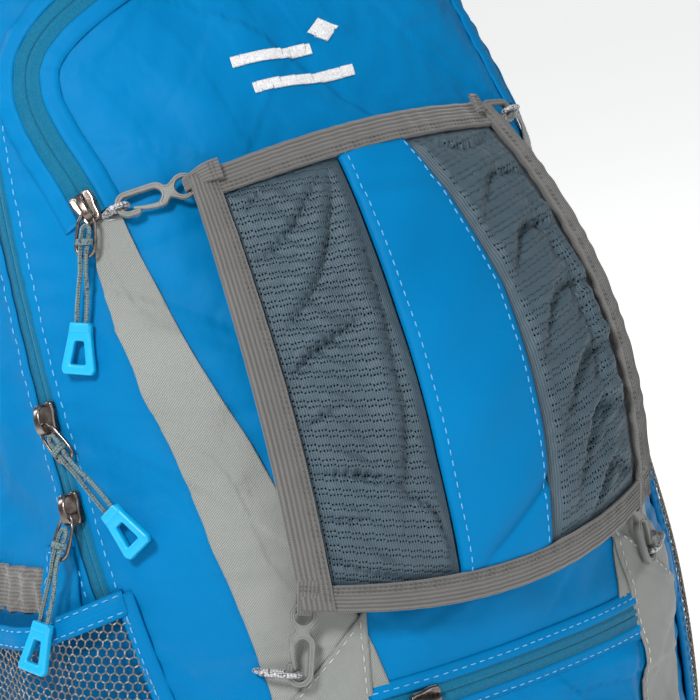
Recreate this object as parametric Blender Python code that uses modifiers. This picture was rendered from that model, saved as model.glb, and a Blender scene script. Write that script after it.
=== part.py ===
"""A daypack as an assembly of sewn, moulded and metal pieces.  Metres, +Z up, the front faces -Y, -X is the
wearer's left.  The origin is on the floor under the middle of the bag's base."""
import math

import bmesh
import bpy
from mathutils import Matrix, Vector

MM = 0.001
GAP = 0.3 * MM

# Bag envelope: height, half width, depth in front of and behind the origin plane, in millimetres.
STATIONS = (
    (0, 122, 112, 42),
    (22, 148, 139, 60),
    (60, 155, 145, 62),
    (110, 156, 147, 62),
    (150, 154, 148, 62),
    (200, 150, 143, 62),
    (300, 139, 116, 62),
    (380, 125, 77, 58),
    (445, 94, 44, 46),
    (476, 58, 24, 31),
    (488, 12, 6, 8),
)
FRONT_POWER = 2.4
BACK_POWER = 5.0
BAG_HEIGHT = 0.488
CROWN_EDGE = 0.0004
BAG_HEIGHTS = (0, 5, 12, 22, 40, 70, 110, 150, 200, 250, 300, 345, 380, 412, 436, 455, 469, 479, 485, 488)

# The main zip lies in a plane that leans back with height.
SPLIT_AT_FLOOR = -0.107
SPLIT_SLOPE = 0.226
FRONT_FLOOR = 0.018

# Lower front pocket.
POCKET_HALF_WIDTH = 0.080
POCKET_TOP = 0.126
POCKET_BACK = -0.116

# Zips: a chain and tape strip that lies on the bag.
TAPE_WIDTH = 0.011
TAPE_THICKNESS = 0.0012
TAPE_LIFT = 0.0013
MAIN_ZIP_FOOT = 0.177
FRONT_ZIP_HALF = ((112, 329), (113, 345), (114.5, 362), (114, 378), (109, 394), (98, 407), (80, 418),
                  (56, 428), (28, 434))
FRONT_ZIP_CROWN = 436
LOWER_ZIP_HEIGHT = 0.112
LOWER_ZIP_HALF = 0.072

# Slider and its pull.
SLIDER_LENGTH = 0.0145
SLIDER_WIDTH = 0.0105
SLIDER_THICKNESS = 0.0030
BRIDGE_HEIGHT = 0.0049
BRIDGE_WIDTH = 0.0030
BRIDGE_EYE = 0.0020
RING_WIRE = 0.0007
RING_HALF_WIDTH = 0.0041
RING_LENGTH = 0.0180
CORD_RADIUS = 0.0010
CORD_HALF_WIDTH = 0.0016
CORD_LENGTH = 0.0240
TAB_LENGTH = 0.0206
TAB_HALF_TOP = 0.0055
TAB_HALF_FOOT = 0.0076
TAB_THICKNESS = 0.0038

# Snap hook, in its own plane: the eye is at the origin and the nose points along +X.
EYE_RADIUS = 0.0056
EYE_HOLE = 0.0036
SLOT_START = 0.0095
NOSE_CENTRE = 0.0238
NOSE_RADIUS = 0.0055
SLOT_HALF = 0.0030
HOOK_THICKNESS = 0.0030
HOOK_LIFT = 0.0047
GATE_THICKNESS = 0.0022
LOOP_CORD_RADIUS = 0.0011
LOOP_RUN_UPPER = 0.0078
LOOP_RUN_LOWER = 0.0150

# Where each snap hook's eye and nose lie on the front: across and up.
HOOK_SPOTS = {
    "upper_left": ((-0.0805, 0.3330), (-0.1050, 0.3295)),
    "lower_left": ((-0.0900, 0.1585), (-0.0965, 0.1310)),
    "upper_right": ((0.0685, 0.3330), (0.0930, 0.3295)),
    "lower_right": ((0.0805, 0.1585), (0.0870, 0.1310)),
}

# Holder panel, hung off the front by its four corners.
HOLDER_TOP = 0.333
HOLDER_FOOT = 0.162
HOLDER_HALF_TOP = 0.078
HOLDER_HALF_FOOT = 0.090
HOLDER_CROWN = 0.006
HOLDER_SAG = 0.014
HOLDER_LIFT = 0.0085
HOLDER_BULGE = 0.0050
HOLDER_BELLY = 0.0035
HOLDER_RIGHT_BOW = 0.005
HOLDER_RIGHT_TOP_PULL = 0.012
HOLDER_RIGHT_FOOT_PULL = 0.010
PANEL_THICKNESS = 0.0016
BINDING_WIDTH = 0.0095
BINDING_THICKNESS = 0.0012
BINDING_GAP = 0.0016

# Side pockets and straps.
SIDE_POCKET_FLOOR = 0.020
SIDE_POCKET_FRONT_RIM = 0.178
SIDE_POCKET_RIM = 0.166
SIDE_POCKET_BACK = 0.030
SIDE_POCKET_BULGE = 0.0135
SIDE_POCKET_WALL = 0.0016
SIDE_POCKET_SEAM = 0.0016
SIDE_STRAP_HEIGHT = 0.180
SIDE_STRAP_WIDTH = 0.019
SIDE_STRAP_FRONT = -0.038
SIDE_STRAP_BACK = 0.041
SIDE_STRAP_LIFT = 0.0008

# Harness.
PAD_THICKNESS = 0.009
SHOULDER_WIDTH = 0.060
SHOULDER_THICKNESS = 0.011
WEBBING = 0.0016
LOWER_WEBBING_WIDTH = 0.025
HIP_WEBBING_WIDTH = 0.030
STERNUM_WEBBING_WIDTH = 0.019

# Places of the harness on the right-hand side, in millimetres: across, back and up.
SHOULDER_TOP = (46, 60, 428)
SHOULDER_ROUTE = ((46, 62, 428), (47, 76, 434), (50, 93, 424), (54, 106, 396), (58, 114, 356), (63, 118, 306),
                  (69, 116, 254), (76, 108, 206), (82, 98, 170))
LOWER_WEBBING_ROUTE = ((87.5, 90, 137), (90.5, 83, 112), (93.5, 75, 84), (96, 66, 48))
SHOULDER_CENTRE = (0.062, 0.30)
LOCK_ENDS = ((82.8, 99, 166.5), (87.3, 94, 140))
LOCK_HALF = 0.016
LOCK_SLOT = 0.013
LOCK_BAR = 0.003
LOCK_THICKNESS = 0.0042
STERNUM_SEAT = (36.5, 131.5, 300)
STERNUM_KNEE = -0.014
HIP_ANCHOR = (140, 54, 24)
HIP_ROUTE = (HIP_ANCHOR, (141, 69, 23), (136, 88, 22), (122, 106, 21), (94, 120, 20), (60, 127, 20),
             (34, 129, 20))
HIP_BUCKLE = (0, 0.1300, 0.020)
HAUL_ROUTE = ((-34, 52, 454), (-31, 65, 466), (-22, 76, 474), (0, 82, 478), (22, 76, 474), (31, 65, 466),
              (34, 52, 454))

BLUE = (0.0, 0.25, 0.63)
DARK_BLUE = (0.0, 0.10, 0.28)
CYAN = (0.0, 0.50, 0.85)
MESH_GREY = (0.10, 0.13, 0.16)
ELASTIC_GREY = (0.15, 0.145, 0.13)
PLASTIC_GREY = (0.16, 0.165, 0.16)
NICKEL = (0.45, 0.42, 0.40)
TAN = (0.22, 0.20, 0.17)
BLACK = (0.02, 0.022, 0.025)


def clear_scene():
    for obj in list(bpy.data.objects):
        bpy.data.objects.remove(obj, do_unlink=True)


def new_collection(name):
    collection = bpy.data.collections.new(name)
    bpy.context.scene.collection.children.link(collection)
    return collection


clear_scene()
PARTS = new_collection("daypack")
CUTTERS = new_collection("cutters")


# ---------------------------------------------------------------- bag surface

def profile_slopes(column):
    """Slopes of a smooth curve through one column of STATIONS that never overshoots its points."""
    steps = []
    for low, high in zip(STATIONS, STATIONS[1:]):
        steps.append((high[column] - low[column]) / (high[0] - low[0]))
    slopes = [steps[0]]
    for before, after in zip(steps, steps[1:]):
        slopes.append(2 * before * after / (before + after) if before * after > 0 else 0.0)
    slopes.append(steps[-1])
    return slopes


SLOPES = {column: profile_slopes(column) for column in (1, 2, 3)}


def profile(column, z):
    """One column of STATIONS at height z, in metres."""
    height = min(max(z / MM, STATIONS[0][0]), STATIONS[-1][0])
    index = 0
    while index < len(STATIONS) - 2 and height > STATIONS[index + 1][0]:
        index += 1
    low, high = STATIONS[index], STATIONS[index + 1]
    span = high[0] - low[0]
    t = (height - low[0]) / span
    start, end = SLOPES[column][index] * span, SLOPES[column][index + 1] * span
    value = (2 * t ** 3 - 3 * t ** 2 + 1) * low[column] + (t ** 3 - 2 * t ** 2 + t) * start
    value += (3 * t ** 2 - 2 * t ** 3) * high[column] + (t ** 3 - t ** 2) * end
    return value * MM


def bag_level(point):
    """1 on the bag's surface, less inside it and more outside it."""
    x, y, z = point
    depth, power = (profile(2, z), FRONT_POWER) if y < 0 else (profile(3, z), BACK_POWER)
    return (abs(x / profile(1, z)) ** power + abs(y / depth) ** power) ** (1 / power)


def bag_normal(point):
    if point[2] > BAG_HEIGHT - CROWN_EDGE:
        return Vector((0, 0, 1))
    step = 0.0002
    slope = []
    for axis in range(3):
        ahead, behind = Vector(point), Vector(point)
        ahead[axis] += step
        behind[axis] -= step
        slope.append(bag_level(ahead) - bag_level(behind))
    return Vector(slope).normalized()


def lifted(point, lift):
    return Vector(point) + bag_normal(point) * lift


def front_point(x, z, lift=0.0):
    span = max(1 - abs(x / profile(1, z)) ** FRONT_POWER, 0.0)
    return lifted((x, -profile(2, z) * span ** (1 / FRONT_POWER), z), lift)


def back_point(x, z, lift=0.0):
    span = max(1 - abs(x / profile(1, z)) ** BACK_POWER, 0.0)
    return lifted((x, profile(3, z) * span ** (1 / BACK_POWER), z), lift)


def side_point(sign, y, z, lift=0.0):
    depth, power = (profile(2, z), FRONT_POWER) if y < 0 else (profile(3, z), BACK_POWER)
    span = max(1 - abs(y / depth) ** power, 0.0)
    return lifted((sign * profile(1, z) * span ** (1 / power), y, z), lift)


def ring_point(angle, z):
    """Point of the bag at height z; angle 0 is the centre front and pi is the centre back."""
    s, c = math.sin(angle), math.cos(angle)
    depth, power = (profile(2, z), FRONT_POWER) if c > 0 else (profile(3, z), BACK_POWER)
    reach = (abs(s) ** power + abs(c) ** power) ** (-1 / power)
    return Vector((profile(1, z) * s * reach, -depth * c * reach, z))


def split_y(z):
    return SPLIT_AT_FLOOR + SPLIT_SLOPE * z


# ---------------------------------------------------------------- makers

def finish(obj, colour, roughness=0.8, metallic=0.0):
    material = bpy.data.materials.new(obj.name)
    material.use_nodes = True
    shader = material.node_tree.nodes["Principled BSDF"]
    shader.inputs["Base Color"].default_value = (*colour, 1)
    shader.inputs["Roughness"].default_value = roughness
    shader.inputs["Metallic"].default_value = metallic
    obj.data.materials.clear()
    obj.data.materials.append(material)
    return obj


def mesh_object(name, mesh, collection=PARTS):
    obj = bpy.data.objects.new(name, mesh)
    collection.objects.link(obj)
    return obj


def grid_mesh(name, rows, closed=False):
    """Open surface through rows of points; closed joins each row's ends."""
    bm = bmesh.new()
    verts = [[bm.verts.new(point) for point in row] for row in rows]
    width = len(rows[0])
    for low, high in zip(verts, verts[1:]):
        for i in range(width if closed else width - 1):
            j = (i + 1) % width
            bm.faces.new((low[i], low[j], high[j], high[i]))
    mesh = bpy.data.meshes.new(name)
    bm.to_mesh(mesh)
    bm.free()
    return mesh


def sheet(name, rows, thickness, closed=False):
    """Panel of even thickness that grows from a surface along its normals."""
    obj = mesh_object(name, grid_mesh(name, rows, closed))
    solid = obj.modifiers.new("thickness", "SOLIDIFY")
    solid.thickness = thickness
    solid.offset = 1
    return obj


def ribbon(name, stations, width, thickness, across=1):
    """Strip along stations of (point, outward normal); it grows outward from them."""
    points = [Vector(point) for point, _ in stations]
    rows = []
    for index, (point, normal) in enumerate(stations):
        ahead = points[min(index + 1, len(points) - 1)]
        behind = points[max(index - 1, 0)]
        side = (ahead - behind).cross(Vector(normal)).normalized() * width / 2
        rows.append([Vector(point) + side * (2 * k / across - 1) for k in range(across + 1)])
    return sheet(name, rows, thickness)


def smooth(points, count):
    """Evenly stepped points of a smooth curve through the given ones."""
    points = [Vector(point) for point in points]
    ends = [2 * points[0] - points[1]] + points + [2 * points[-1] - points[-2]]
    result = []
    for k in range(count):
        place = k * (len(points) - 1) / (count - 1)
        index = min(int(place), len(points) - 2)
        t = place - index
        a, b, c, d = ends[index:index + 4]
        result.append(0.5 * (2 * b + (c - a) * t + (2 * a - 5 * b + 4 * c - d) * t ** 2
                             + (3 * b - a - 3 * c + d) * t ** 3))
    return result


def tube(name, points, radius, cyclic=False):
    curve = bpy.data.curves.new(name, "CURVE")
    curve.dimensions = "3D"
    curve.bevel_depth = radius
    curve.bevel_resolution = 2
    curve.use_fill_caps = not cyclic
    spline = curve.splines.new("POLY")
    spline.points.add(len(points) - 1)
    for target, point in zip(spline.points, points):
        target.co = (*point, 1)
    spline.use_cyclic_u = cyclic
    return mesh_object(name, curve)


def as_mesh(obj):
    """The object as a plain welded mesh with its modifiers applied."""
    bpy.context.view_layer.update()
    evaluated = obj.evaluated_get(bpy.context.evaluated_depsgraph_get())
    mesh = bpy.data.meshes.new_from_object(evaluated)
    bm = bmesh.new()
    bm.from_mesh(mesh)
    bmesh.ops.remove_doubles(bm, verts=bm.verts, dist=0.01 * MM)
    bm.to_mesh(mesh)
    bm.free()
    name, matrix = obj.name, obj.matrix_world.copy()
    collection = obj.users_collection[0]
    bpy.data.objects.remove(obj, do_unlink=True)
    result = mesh_object(name, mesh, collection)
    result.matrix_world = matrix
    return result


def plate(name, outlines, thickness, matrix=Matrix()):
    """Flat solid from closed outlines in its own XY plane, centred on that plane; inner ones are holes."""
    curve = bpy.data.curves.new(name, "CURVE")
    curve.dimensions = "2D"
    curve.fill_mode = "BOTH"
    curve.extrude = thickness / 2
    for outline in outlines:
        spline = curve.splines.new("POLY")
        spline.points.add(len(outline) - 1)
        for target, (x, y) in zip(spline.points, outline):
            target.co = (x, y, 0, 1)
        spline.use_cyclic_u = True
    obj = mesh_object(name, curve)
    obj.matrix_world = matrix
    return as_mesh(obj)


def block(name, size, matrix, bevel=0.0):
    mesh = bpy.data.meshes.new(name)
    bm = bmesh.new()
    bmesh.ops.create_cube(bm, size=1, matrix=Matrix.Diagonal((*size, 1)))
    bm.to_mesh(mesh)
    bm.free()
    obj = mesh_object(name, mesh)
    obj.matrix_world = matrix
    if bevel:
        rounding = obj.modifiers.new("rounded edges", "BEVEL")
        rounding.width = bevel
        rounding.segments = 2
    return obj


def combine(target, tool, operation):
    """Boolean of two solids; the tool is kept as a hidden cutter."""
    for collection in list(tool.users_collection):
        collection.objects.unlink(tool)
    CUTTERS.objects.link(tool)
    tool.hide_render = True
    tool.display_type = "WIRE"
    boolean = target.modifiers.new(operation.lower(), "BOOLEAN")
    boolean.operation = operation
    boolean.object = tool
    boolean.solver = "EXACT"
    return target


def arc(x, y, radius, start, end, count):
    """Points of an arc, with angles in degrees."""
    points = []
    for k in range(count):
        angle = math.radians(start + (end - start) * k / (count - 1))
        points.append((x + radius * math.cos(angle), y + radius * math.sin(angle)))
    return points


def frame_at(origin, along, normal):
    """Matrix with X along, Z close to the normal, at the origin."""
    x = Vector(along).normalized()
    y = Vector(normal).cross(x).normalized()
    z = x.cross(y)
    matrix = Matrix((x, y, z)).transposed().to_4x4()
    matrix.translation = origin
    return matrix


def pivot(name, at, parent=None):
    empty = bpy.data.objects.new(name, None)
    PARTS.objects.link(empty)
    empty.matrix_world = Matrix.Translation(at)
    if parent:
        hold(empty, parent)
    return empty


def hold(obj, parent):
    """Parents an object where it stands."""
    bpy.context.view_layer.update()
    obj.parent = parent
    obj.matrix_parent_inverse = parent.matrix_world.inverted()
    return obj


# ---------------------------------------------------------------- compartments

def bag_solid(name):
    count = 36
    rows = [[ring_point(2 * math.pi * k / count, z * MM) for k in range(count)] for z in BAG_HEIGHTS]
    obj = mesh_object(name, grid_mesh(name, rows, closed=True))
    bm = bmesh.new()
    bm.from_mesh(obj.data)
    bmesh.ops.holes_fill(bm, edges=[edge for edge in bm.edges if edge.is_boundary])
    bmesh.ops.recalc_face_normals(bm, faces=bm.faces)
    bm.to_mesh(obj.data)
    bm.free()
    return obj


def front_zone(name, gap):
    """Everything in front of the main zip's plane and above the base's front edge."""
    reach, top = 0.30, 0.60
    outline = [(split_y(FRONT_FLOOR) - gap, FRONT_FLOOR + gap), (split_y(top) - gap, top), (-reach, top),
               (-reach, FRONT_FLOOR + gap)]
    upright = Matrix(((0, 0, 1, 0), (1, 0, 0, 0), (0, 1, 0, 0), (0, 0, 0, 1)))
    return plate(name, [outline], 2 * reach, upright)


def pocket_zone(name, gap):
    low, high = FRONT_FLOOR + 0.004 + gap, POCKET_TOP - gap
    size = (2 * (POCKET_HALF_WIDTH - gap), 0.2, high - low)
    place = Matrix.Translation((0, POCKET_BACK - gap - size[1] / 2, (low + high) / 2))
    return block(name, size, place)


def main_compartment():
    body = combine(bag_solid("main_compartment"), front_zone("front_space", 0), "DIFFERENCE")
    return finish(body, BLUE, 0.6)


def front_compartment():
    body = combine(bag_solid("front_compartment"), front_zone("front_zone", GAP), "INTERSECT")
    combine(body, pocket_zone("pocket_space", 0), "DIFFERENCE")
    return finish(body, BLUE, 0.6)


def lower_front_pocket():
    body = combine(bag_solid("lower_front_pocket"), pocket_zone("pocket_zone", GAP), "INTERSECT")
    return finish(body, BLUE, 0.6)


# ---------------------------------------------------------------- zips

def on_bag(points, lift):
    return [(lifted(point, lift), bag_normal(point)) for point in points]


def main_zip_path():
    heights = [MAIN_ZIP_FOOT + k * 0.022 for k in range(12)]
    heights += [0.436, 0.450, 0.462, 0.471, 0.478, 0.483, 0.486]
    half = [side_point(-1, split_y(z), z) for z in heights]
    half.append(Vector((-profile(1, BAG_HEIGHT), split_y(BAG_HEIGHT), BAG_HEIGHT)))
    crown = Vector((0, split_y(BAG_HEIGHT), BAG_HEIGHT))
    return half + [crown] + [Vector((-p.x, p.y, p.z)) for p in reversed(half)]


def front_zip_path():
    half = [front_point(-x * MM, z * MM) for x, z in FRONT_ZIP_HALF]
    crown = [front_point(0, FRONT_ZIP_CROWN * MM)]
    return half + crown + [Vector((-p.x, p.y, p.z)) for p in reversed(half)]


def lower_zip_path():
    count = 13
    return [front_point(LOWER_ZIP_HALF * (2 * k / (count - 1) - 1), LOWER_ZIP_HEIGHT) for k in range(count)]


def zip_chain(name, path, lift=TAPE_LIFT):
    return finish(ribbon(name, on_bag(path, lift), TAPE_WIDTH, TAPE_THICKNESS), DARK_BLUE, 0.7)


def slider_solid(name, place):
    """Plate that straddles the chain, with a bridge over it whose eye holds the pull ring."""
    size = (SLIDER_LENGTH, SLIDER_WIDTH, SLIDER_THICKNESS)
    body = block(name, size, place @ Matrix.Translation((0, 0, SLIDER_THICKNESS / 2)), 0.0007)
    half, top = 0.0056, SLIDER_THICKNESS + BRIDGE_HEIGHT
    outline = [(-half, 0.001), (half, 0.001), (half, 0.0042)]
    outline += arc(half - 0.0032, top - 0.0032, 0.0032, 0, 90, 4)
    outline += arc(0.003 - half, top - 0.003, 0.003, 90, 180, 4)
    eye = arc(*eye_place(), BRIDGE_EYE, 0, 330, 12)
    upright = Matrix(((1, 0, 0, 0), (0, 0, -1, 0), (0, 1, 0, 0), (0, 0, 0, 1)))
    bridge = plate(name + "_bridge", [outline, eye], BRIDGE_WIDTH, place @ upright)
    return finish(as_mesh(combine(body, bridge, "UNION")), NICKEL, 0.35, 1.0)


def eye_place():
    """Where the bridge's eye is, along and above the slider's plate."""
    return -0.0028, SLIDER_THICKNESS + BRIDGE_HEIGHT - 0.0027


def pull_ring(name, place):
    half = RING_HALF_WIDTH
    bend = arc(RING_LENGTH - half, 0, half, -90, 90, 7)
    outline = [(0.0006, -half), *bend, (0.0006, half), (0, half - 0.001), (0, 0), (0, 0.001 - half)]
    ring = tube(name, [place @ Vector((x, y, 0)) for x, y in outline], RING_WIRE, cyclic=True)
    return finish(ring, NICKEL, 0.3, 1.0)


def pull_cord(name, place):
    start = RING_LENGTH + RING_WIRE + CORD_RADIUS + GAP
    end = start + CORD_LENGTH
    half = CORD_HALF_WIDTH
    outline = arc(start + half, 0, half, 90, 270, 5) + arc(end - half, 0, half, -90, 90, 5)
    cord = tube(name, [place @ Vector((x, y, 0)) for x, y in outline], CORD_RADIUS, cyclic=True)
    return finish(cord, (0.06, 0.15, 0.17), 0.8)


def pull_tab(name, place):
    start = RING_LENGTH + RING_WIRE + 2 * CORD_RADIUS + CORD_LENGTH + 2 * GAP
    corner = 0.002
    end = start + TAB_LENGTH
    outline = arc(start + corner, corner - TAB_HALF_TOP, corner, 180, 280, 4)
    outline += arc(end - corner, corner - TAB_HALF_FOOT, corner, 280, 360, 4)
    outline += arc(end - corner, TAB_HALF_FOOT - corner, corner, 0, 80, 4)
    outline += arc(start + corner, TAB_HALF_TOP - corner, corner, 80, 180, 4)
    slot = arc(start + 0.0085, 0, 0.0028, 90, 270, 6) + arc(end - 0.0070, 0, 0.0028, -90, 90, 6)
    return finish(plate(name, [outline, slot], TAB_THICKNESS, place), CYAN, 0.4)


def zip_pull(name, place, target, parent):
    """Slider at place with its ring, cord and tab laid towards target."""
    hold(slider_solid(name + "_slider", place), parent)
    eye_x, eye_z = eye_place()
    eye = place @ Vector((eye_x, 0, eye_z))
    along = (Vector(target) - eye).normalized()
    pull = frame_at(eye, along, bag_normal((eye + Vector(target)) / 2))
    hinge = pivot(name + "_pull_pivot", eye, parent)
    for piece in (pull_ring(name + "_pull_ring", pull), pull_cord(name + "_pull_cord", pull),
                  pull_tab(name + "_pull_tab", pull)):
        hold(piece, hinge)


def zips():
    seat = TAPE_LIFT + TAPE_THICKNESS + GAP
    zip_chain("main_zip_chain", main_zip_path())
    zip_chain("front_zip_chain", front_zip_path())
    zip_chain("lower_zip_chain", lower_zip_path())
    spots = (
        ("main_upper", side_point(-1, split_y(0.251), 0.251), side_point(-1, split_y(0.281), 0.281),
         side_point(-1, -0.086, 0.196, 0.0052)),
        ("main_lower", side_point(-1, split_y(0.214), 0.214), side_point(-1, split_y(0.244), 0.244),
         side_point(-1, -0.047, 0.160, 0.0205)),
        ("front", front_point(-0.112, 0.332), front_point(-0.1135, 0.350),
         front_point(-0.1275, 0.276, 0.0055)),
        ("lower", front_point(-0.050, LOWER_ZIP_HEIGHT), front_point(-0.040, LOWER_ZIP_HEIGHT),
         front_point(-0.098, 0.087, 0.0105)),
    )
    for name, spot, ahead, target in spots:
        normal = bag_normal(spot)
        place = frame_at(spot + normal * seat, ahead - spot, normal)
        zip_pull(name, place, target, pivot(name + "_slider_path", place.translation))


# ---------------------------------------------------------------- holder, hooks and loops

def holder_point(across, down, lift=0.0):
    """Point of the holder's inner face: across runs -1 to 1, down runs 0 at the top to 1 at the foot."""
    arch = 1 - across ** 2
    top = HOLDER_TOP + HOLDER_CROWN * arch
    foot = HOLDER_FOOT - HOLDER_SAG * arch
    half = HOLDER_HALF_TOP + (HOLDER_HALF_FOOT - HOLDER_HALF_TOP) * down ** 0.8
    wave = math.sin(math.pi * down)
    if across > 0:
        pull = HOLDER_RIGHT_TOP_PULL * (1 - down) ** 4 + HOLDER_RIGHT_FOOT_PULL * down ** 6
        half += HOLDER_RIGHT_BOW * wave - pull
    stand = HOLDER_LIFT + HOLDER_BULGE * wave + HOLDER_BELLY * wave * arch
    return front_point(across * half, top + (foot - top) * down, stand + lift)


def binding_loop(inset, lift):
    """Closed loop round the holder, a distance in from its edge."""
    steps, rises = 10, 9
    side = inset / (HOLDER_HALF_TOP + HOLDER_HALF_FOOT) * 2
    end = inset / (HOLDER_TOP - HOLDER_FOOT)
    corner_to_corner = [2 * k / steps - 1 for k in range(steps)]
    places = [(-u * (1 - side), 1 - end) for u in corner_to_corner]
    places += [(-1 + side, 1 - end - (1 - 2 * end) * k / rises) for k in range(rises)]
    places += [(u * (1 - side), end) for u in corner_to_corner]
    places += [(1 - side, end + (1 - 2 * end) * k / rises) for k in range(rises)]
    return [holder_point(across, down, lift) for across, down in places]


def hook_places():
    """Matrix of each snap hook: the eye at the holder's corner, the nose towards its cord loop."""
    places = {}
    half = (NOSE_CENTRE + NOSE_RADIUS) / 2
    for name, (eye, nose) in HOOK_SPOTS.items():
        middle = front_point((eye[0] + nose[0]) / 2, (eye[1] + nose[1]) / 2)
        normal = bag_normal(middle)
        along = front_point(*nose) - front_point(*eye)
        along = (along - normal * along.dot(normal)).normalized()
        places[name] = frame_at(middle + normal * HOOK_LIFT - along * half, along, normal)
    return places


def cord_circle(matrix, outline):
    return [matrix @ Vector((x, 0, z)) for x, z in outline]


def corner_tie(name, matrix):
    """Elastic loop from the holder's corner through the hook's eye and round its near side."""
    rise = 0.0042
    outline = [(-0.0075, rise), (-0.0078, 0.0010), (-0.0070, -0.0020), (-0.0046, -0.0027), (-0.0018, -0.0024),
               (-0.0001, -0.0006), (0.0000, 0.0016), (-0.0012, 0.0036), (-0.0036, rise)]
    return as_mesh(tube(name, cord_circle(matrix, outline), 0.0008, cyclic=True))


def holder(places):
    columns, rises = 12, 10
    rows = []
    for j in range(rises + 1):
        rows.append([holder_point(2 * k / columns - 1, 1 - j / rises) for k in range(columns + 1)])
    panel = sheet("holder_panel", rows, PANEL_THICKNESS)
    for name, matrix in places.items():
        combine(panel, corner_tie("tie_" + name, matrix), "UNION")
    finish(panel, MESH_GREY, 0.8)
    lift = PANEL_THICKNESS + BINDING_GAP
    loops = [binding_loop(BINDING_WIDTH, lift), binding_loop(0.0, lift)]
    finish(sheet("holder_binding", loops, BINDING_THICKNESS, closed=True), ELASTIC_GREY, 0.9)


def hook_outline(hand):
    bar = NOSE_RADIUS - SLOT_HALF
    tip = 0.0205
    points = arc(0, 0, EYE_RADIUS, 60, 300, 13)
    points += [(0.0070, -0.0036), (0.0096, -NOSE_RADIUS)]
    points += [(SLOT_START + 0.0006, -SLOT_HALF)] + arc(SLOT_START + SLOT_HALF, 0, SLOT_HALF, 200, 90, 6)
    points += arc(NOSE_CENTRE, 0, SLOT_HALF, 90, -90, 8)
    points += arc(tip, -(SLOT_HALF + bar / 2), bar / 2, 90, 270, 5)
    points += arc(NOSE_CENTRE, 0, NOSE_RADIUS, -90, 90, 10)
    points += [(0.0096, NOSE_RADIUS), (0.0070, 0.0036)]
    hole = arc(0, 0, EYE_HOLE, 0, 330, 12)
    return [[(x, hand * y) for x, y in points], [(x, hand * y) for x, y in hole]]


def gate_outline(hand):
    root = SLOT_START + 0.0012
    points = [(root + GAP, -NOSE_RADIUS + 0.0006), (0.0172, -0.0040), (0.0212, -0.0022), (0.0208, -0.0014),
              (0.0175, -0.0026), (root + 0.0012, -SLOT_HALF - 0.0001)]
    return [[(x, hand * y) for x, y in points]]


def snap_hooks(places):
    for name, matrix in places.items():
        hand = 1 if name in ("upper_right", "lower_left") else -1
        swivel = pivot(name + "_hook_swivel", matrix.translation)
        hook = plate(name + "_snap_hook", hook_outline(hand), HOOK_THICKNESS, matrix)
        hold(finish(hook, PLASTIC_GREY, 0.5), swivel)
        hinge = pivot(name + "_gate_pivot", matrix @ Vector((SLOT_START + 0.0012, -0.0042 * hand, 0)), swivel)
        gate = plate(name + "_hook_gate", gate_outline(hand), GATE_THICKNESS, matrix)
        hold(finish(gate, PLASTIC_GREY, 0.5), hinge)


def cord_loops(places):
    """Reflective cord from the bag's seam, over the hook's nose, through its slot and back under it."""
    inside = NOSE_CENTRE + GAP
    over = HOOK_THICKNESS / 2 + LOOP_CORD_RADIUS + 0.0005
    edge = NOSE_RADIUS + 0.0008
    for name, matrix in places.items():
        turn, run = Matrix(), LOOP_RUN_UPPER
        if name.startswith("lower"):
            turn = Matrix.Rotation(math.radians(-90 if name.endswith("left") else 90), 4, "Z")
            run = LOOP_RUN_LOWER
        middle = Matrix.Translation((inside, 0, 0)) @ turn
        outline = [(run + 0.0012, -0.0016), (run, 0.0012), (edge, over), (edge - 0.0030, over + 0.0002),
                   (0.0012, over - 0.0004), (0.0, 0.0008), (0.0, -0.0008), (0.0012, 0.0004 - over),
                   (edge - 0.0030, -over - 0.0002), (edge, -over), (run - 0.0006, -over - 0.0004)]
        points = smooth(cord_circle(matrix @ middle, outline), 16)
        finish(tube("cord_loop_" + name, points, LOOP_CORD_RADIUS), (0.55, 0.56, 0.56), 0.6)


# ---------------------------------------------------------------- sides

def side_pocket(side, sign):
    """Net pocket: it leaves the bag along its foot and both sides, and stands open along its rim."""
    columns, rises = 16, 12
    rows = []
    for j in range(rises + 1):
        down = j / rises
        row = []
        for k in range(columns + 1):
            across = k / columns
            rim = SIDE_POCKET_FRONT_RIM + (SIDE_POCKET_RIM - SIDE_POCKET_FRONT_RIM) * min(across / 0.35, 1)
            z = SIDE_POCKET_FLOOR + (rim - SIDE_POCKET_FLOOR) * down
            front = split_y(z) - 0.010
            y = front + (SIDE_POCKET_BACK - front) * across
            fullness = math.sin(math.pi * across) ** 0.6 * math.sin(math.pi / 2 * min(down * 1.3, 1)) ** 0.8
            row.append(side_point(sign, y, z, SIDE_POCKET_SEAM + SIDE_POCKET_BULGE * fullness))
        rows.append(row if sign > 0 else row[::-1])
    return finish(sheet("side_pocket_" + side, rows, SIDE_POCKET_WALL), TAN, 0.9)


def side_strap(side, sign):
    count = 9
    step = (SIDE_STRAP_BACK - SIDE_STRAP_FRONT) / (count - 1)
    path = [side_point(sign, SIDE_STRAP_FRONT + k * step, SIDE_STRAP_HEIGHT) for k in range(count)]
    stations = on_bag(path, SIDE_STRAP_LIFT)
    return finish(ribbon("side_strap_" + side, stations, SIDE_STRAP_WIDTH, WEBBING), ELASTIC_GREY, 0.9)


# ---------------------------------------------------------------- harness

def back_pad(name, left, right, foot, top):
    columns, rises = 6, 10
    rows = []
    for j in range(rises + 1):
        z = foot + (top - foot) * j / rises
        rows.append([back_point(right + (left - right) * k / columns, z, 0.0006) for k in range(columns + 1)])
    pad = sheet(name, rows, PAD_THICKNESS)
    return finish(pad, BLACK, 0.9)


def mirrored(points, sign):
    return [Vector((sign * x, y, z)) * MM for x, y, z in points]


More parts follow.
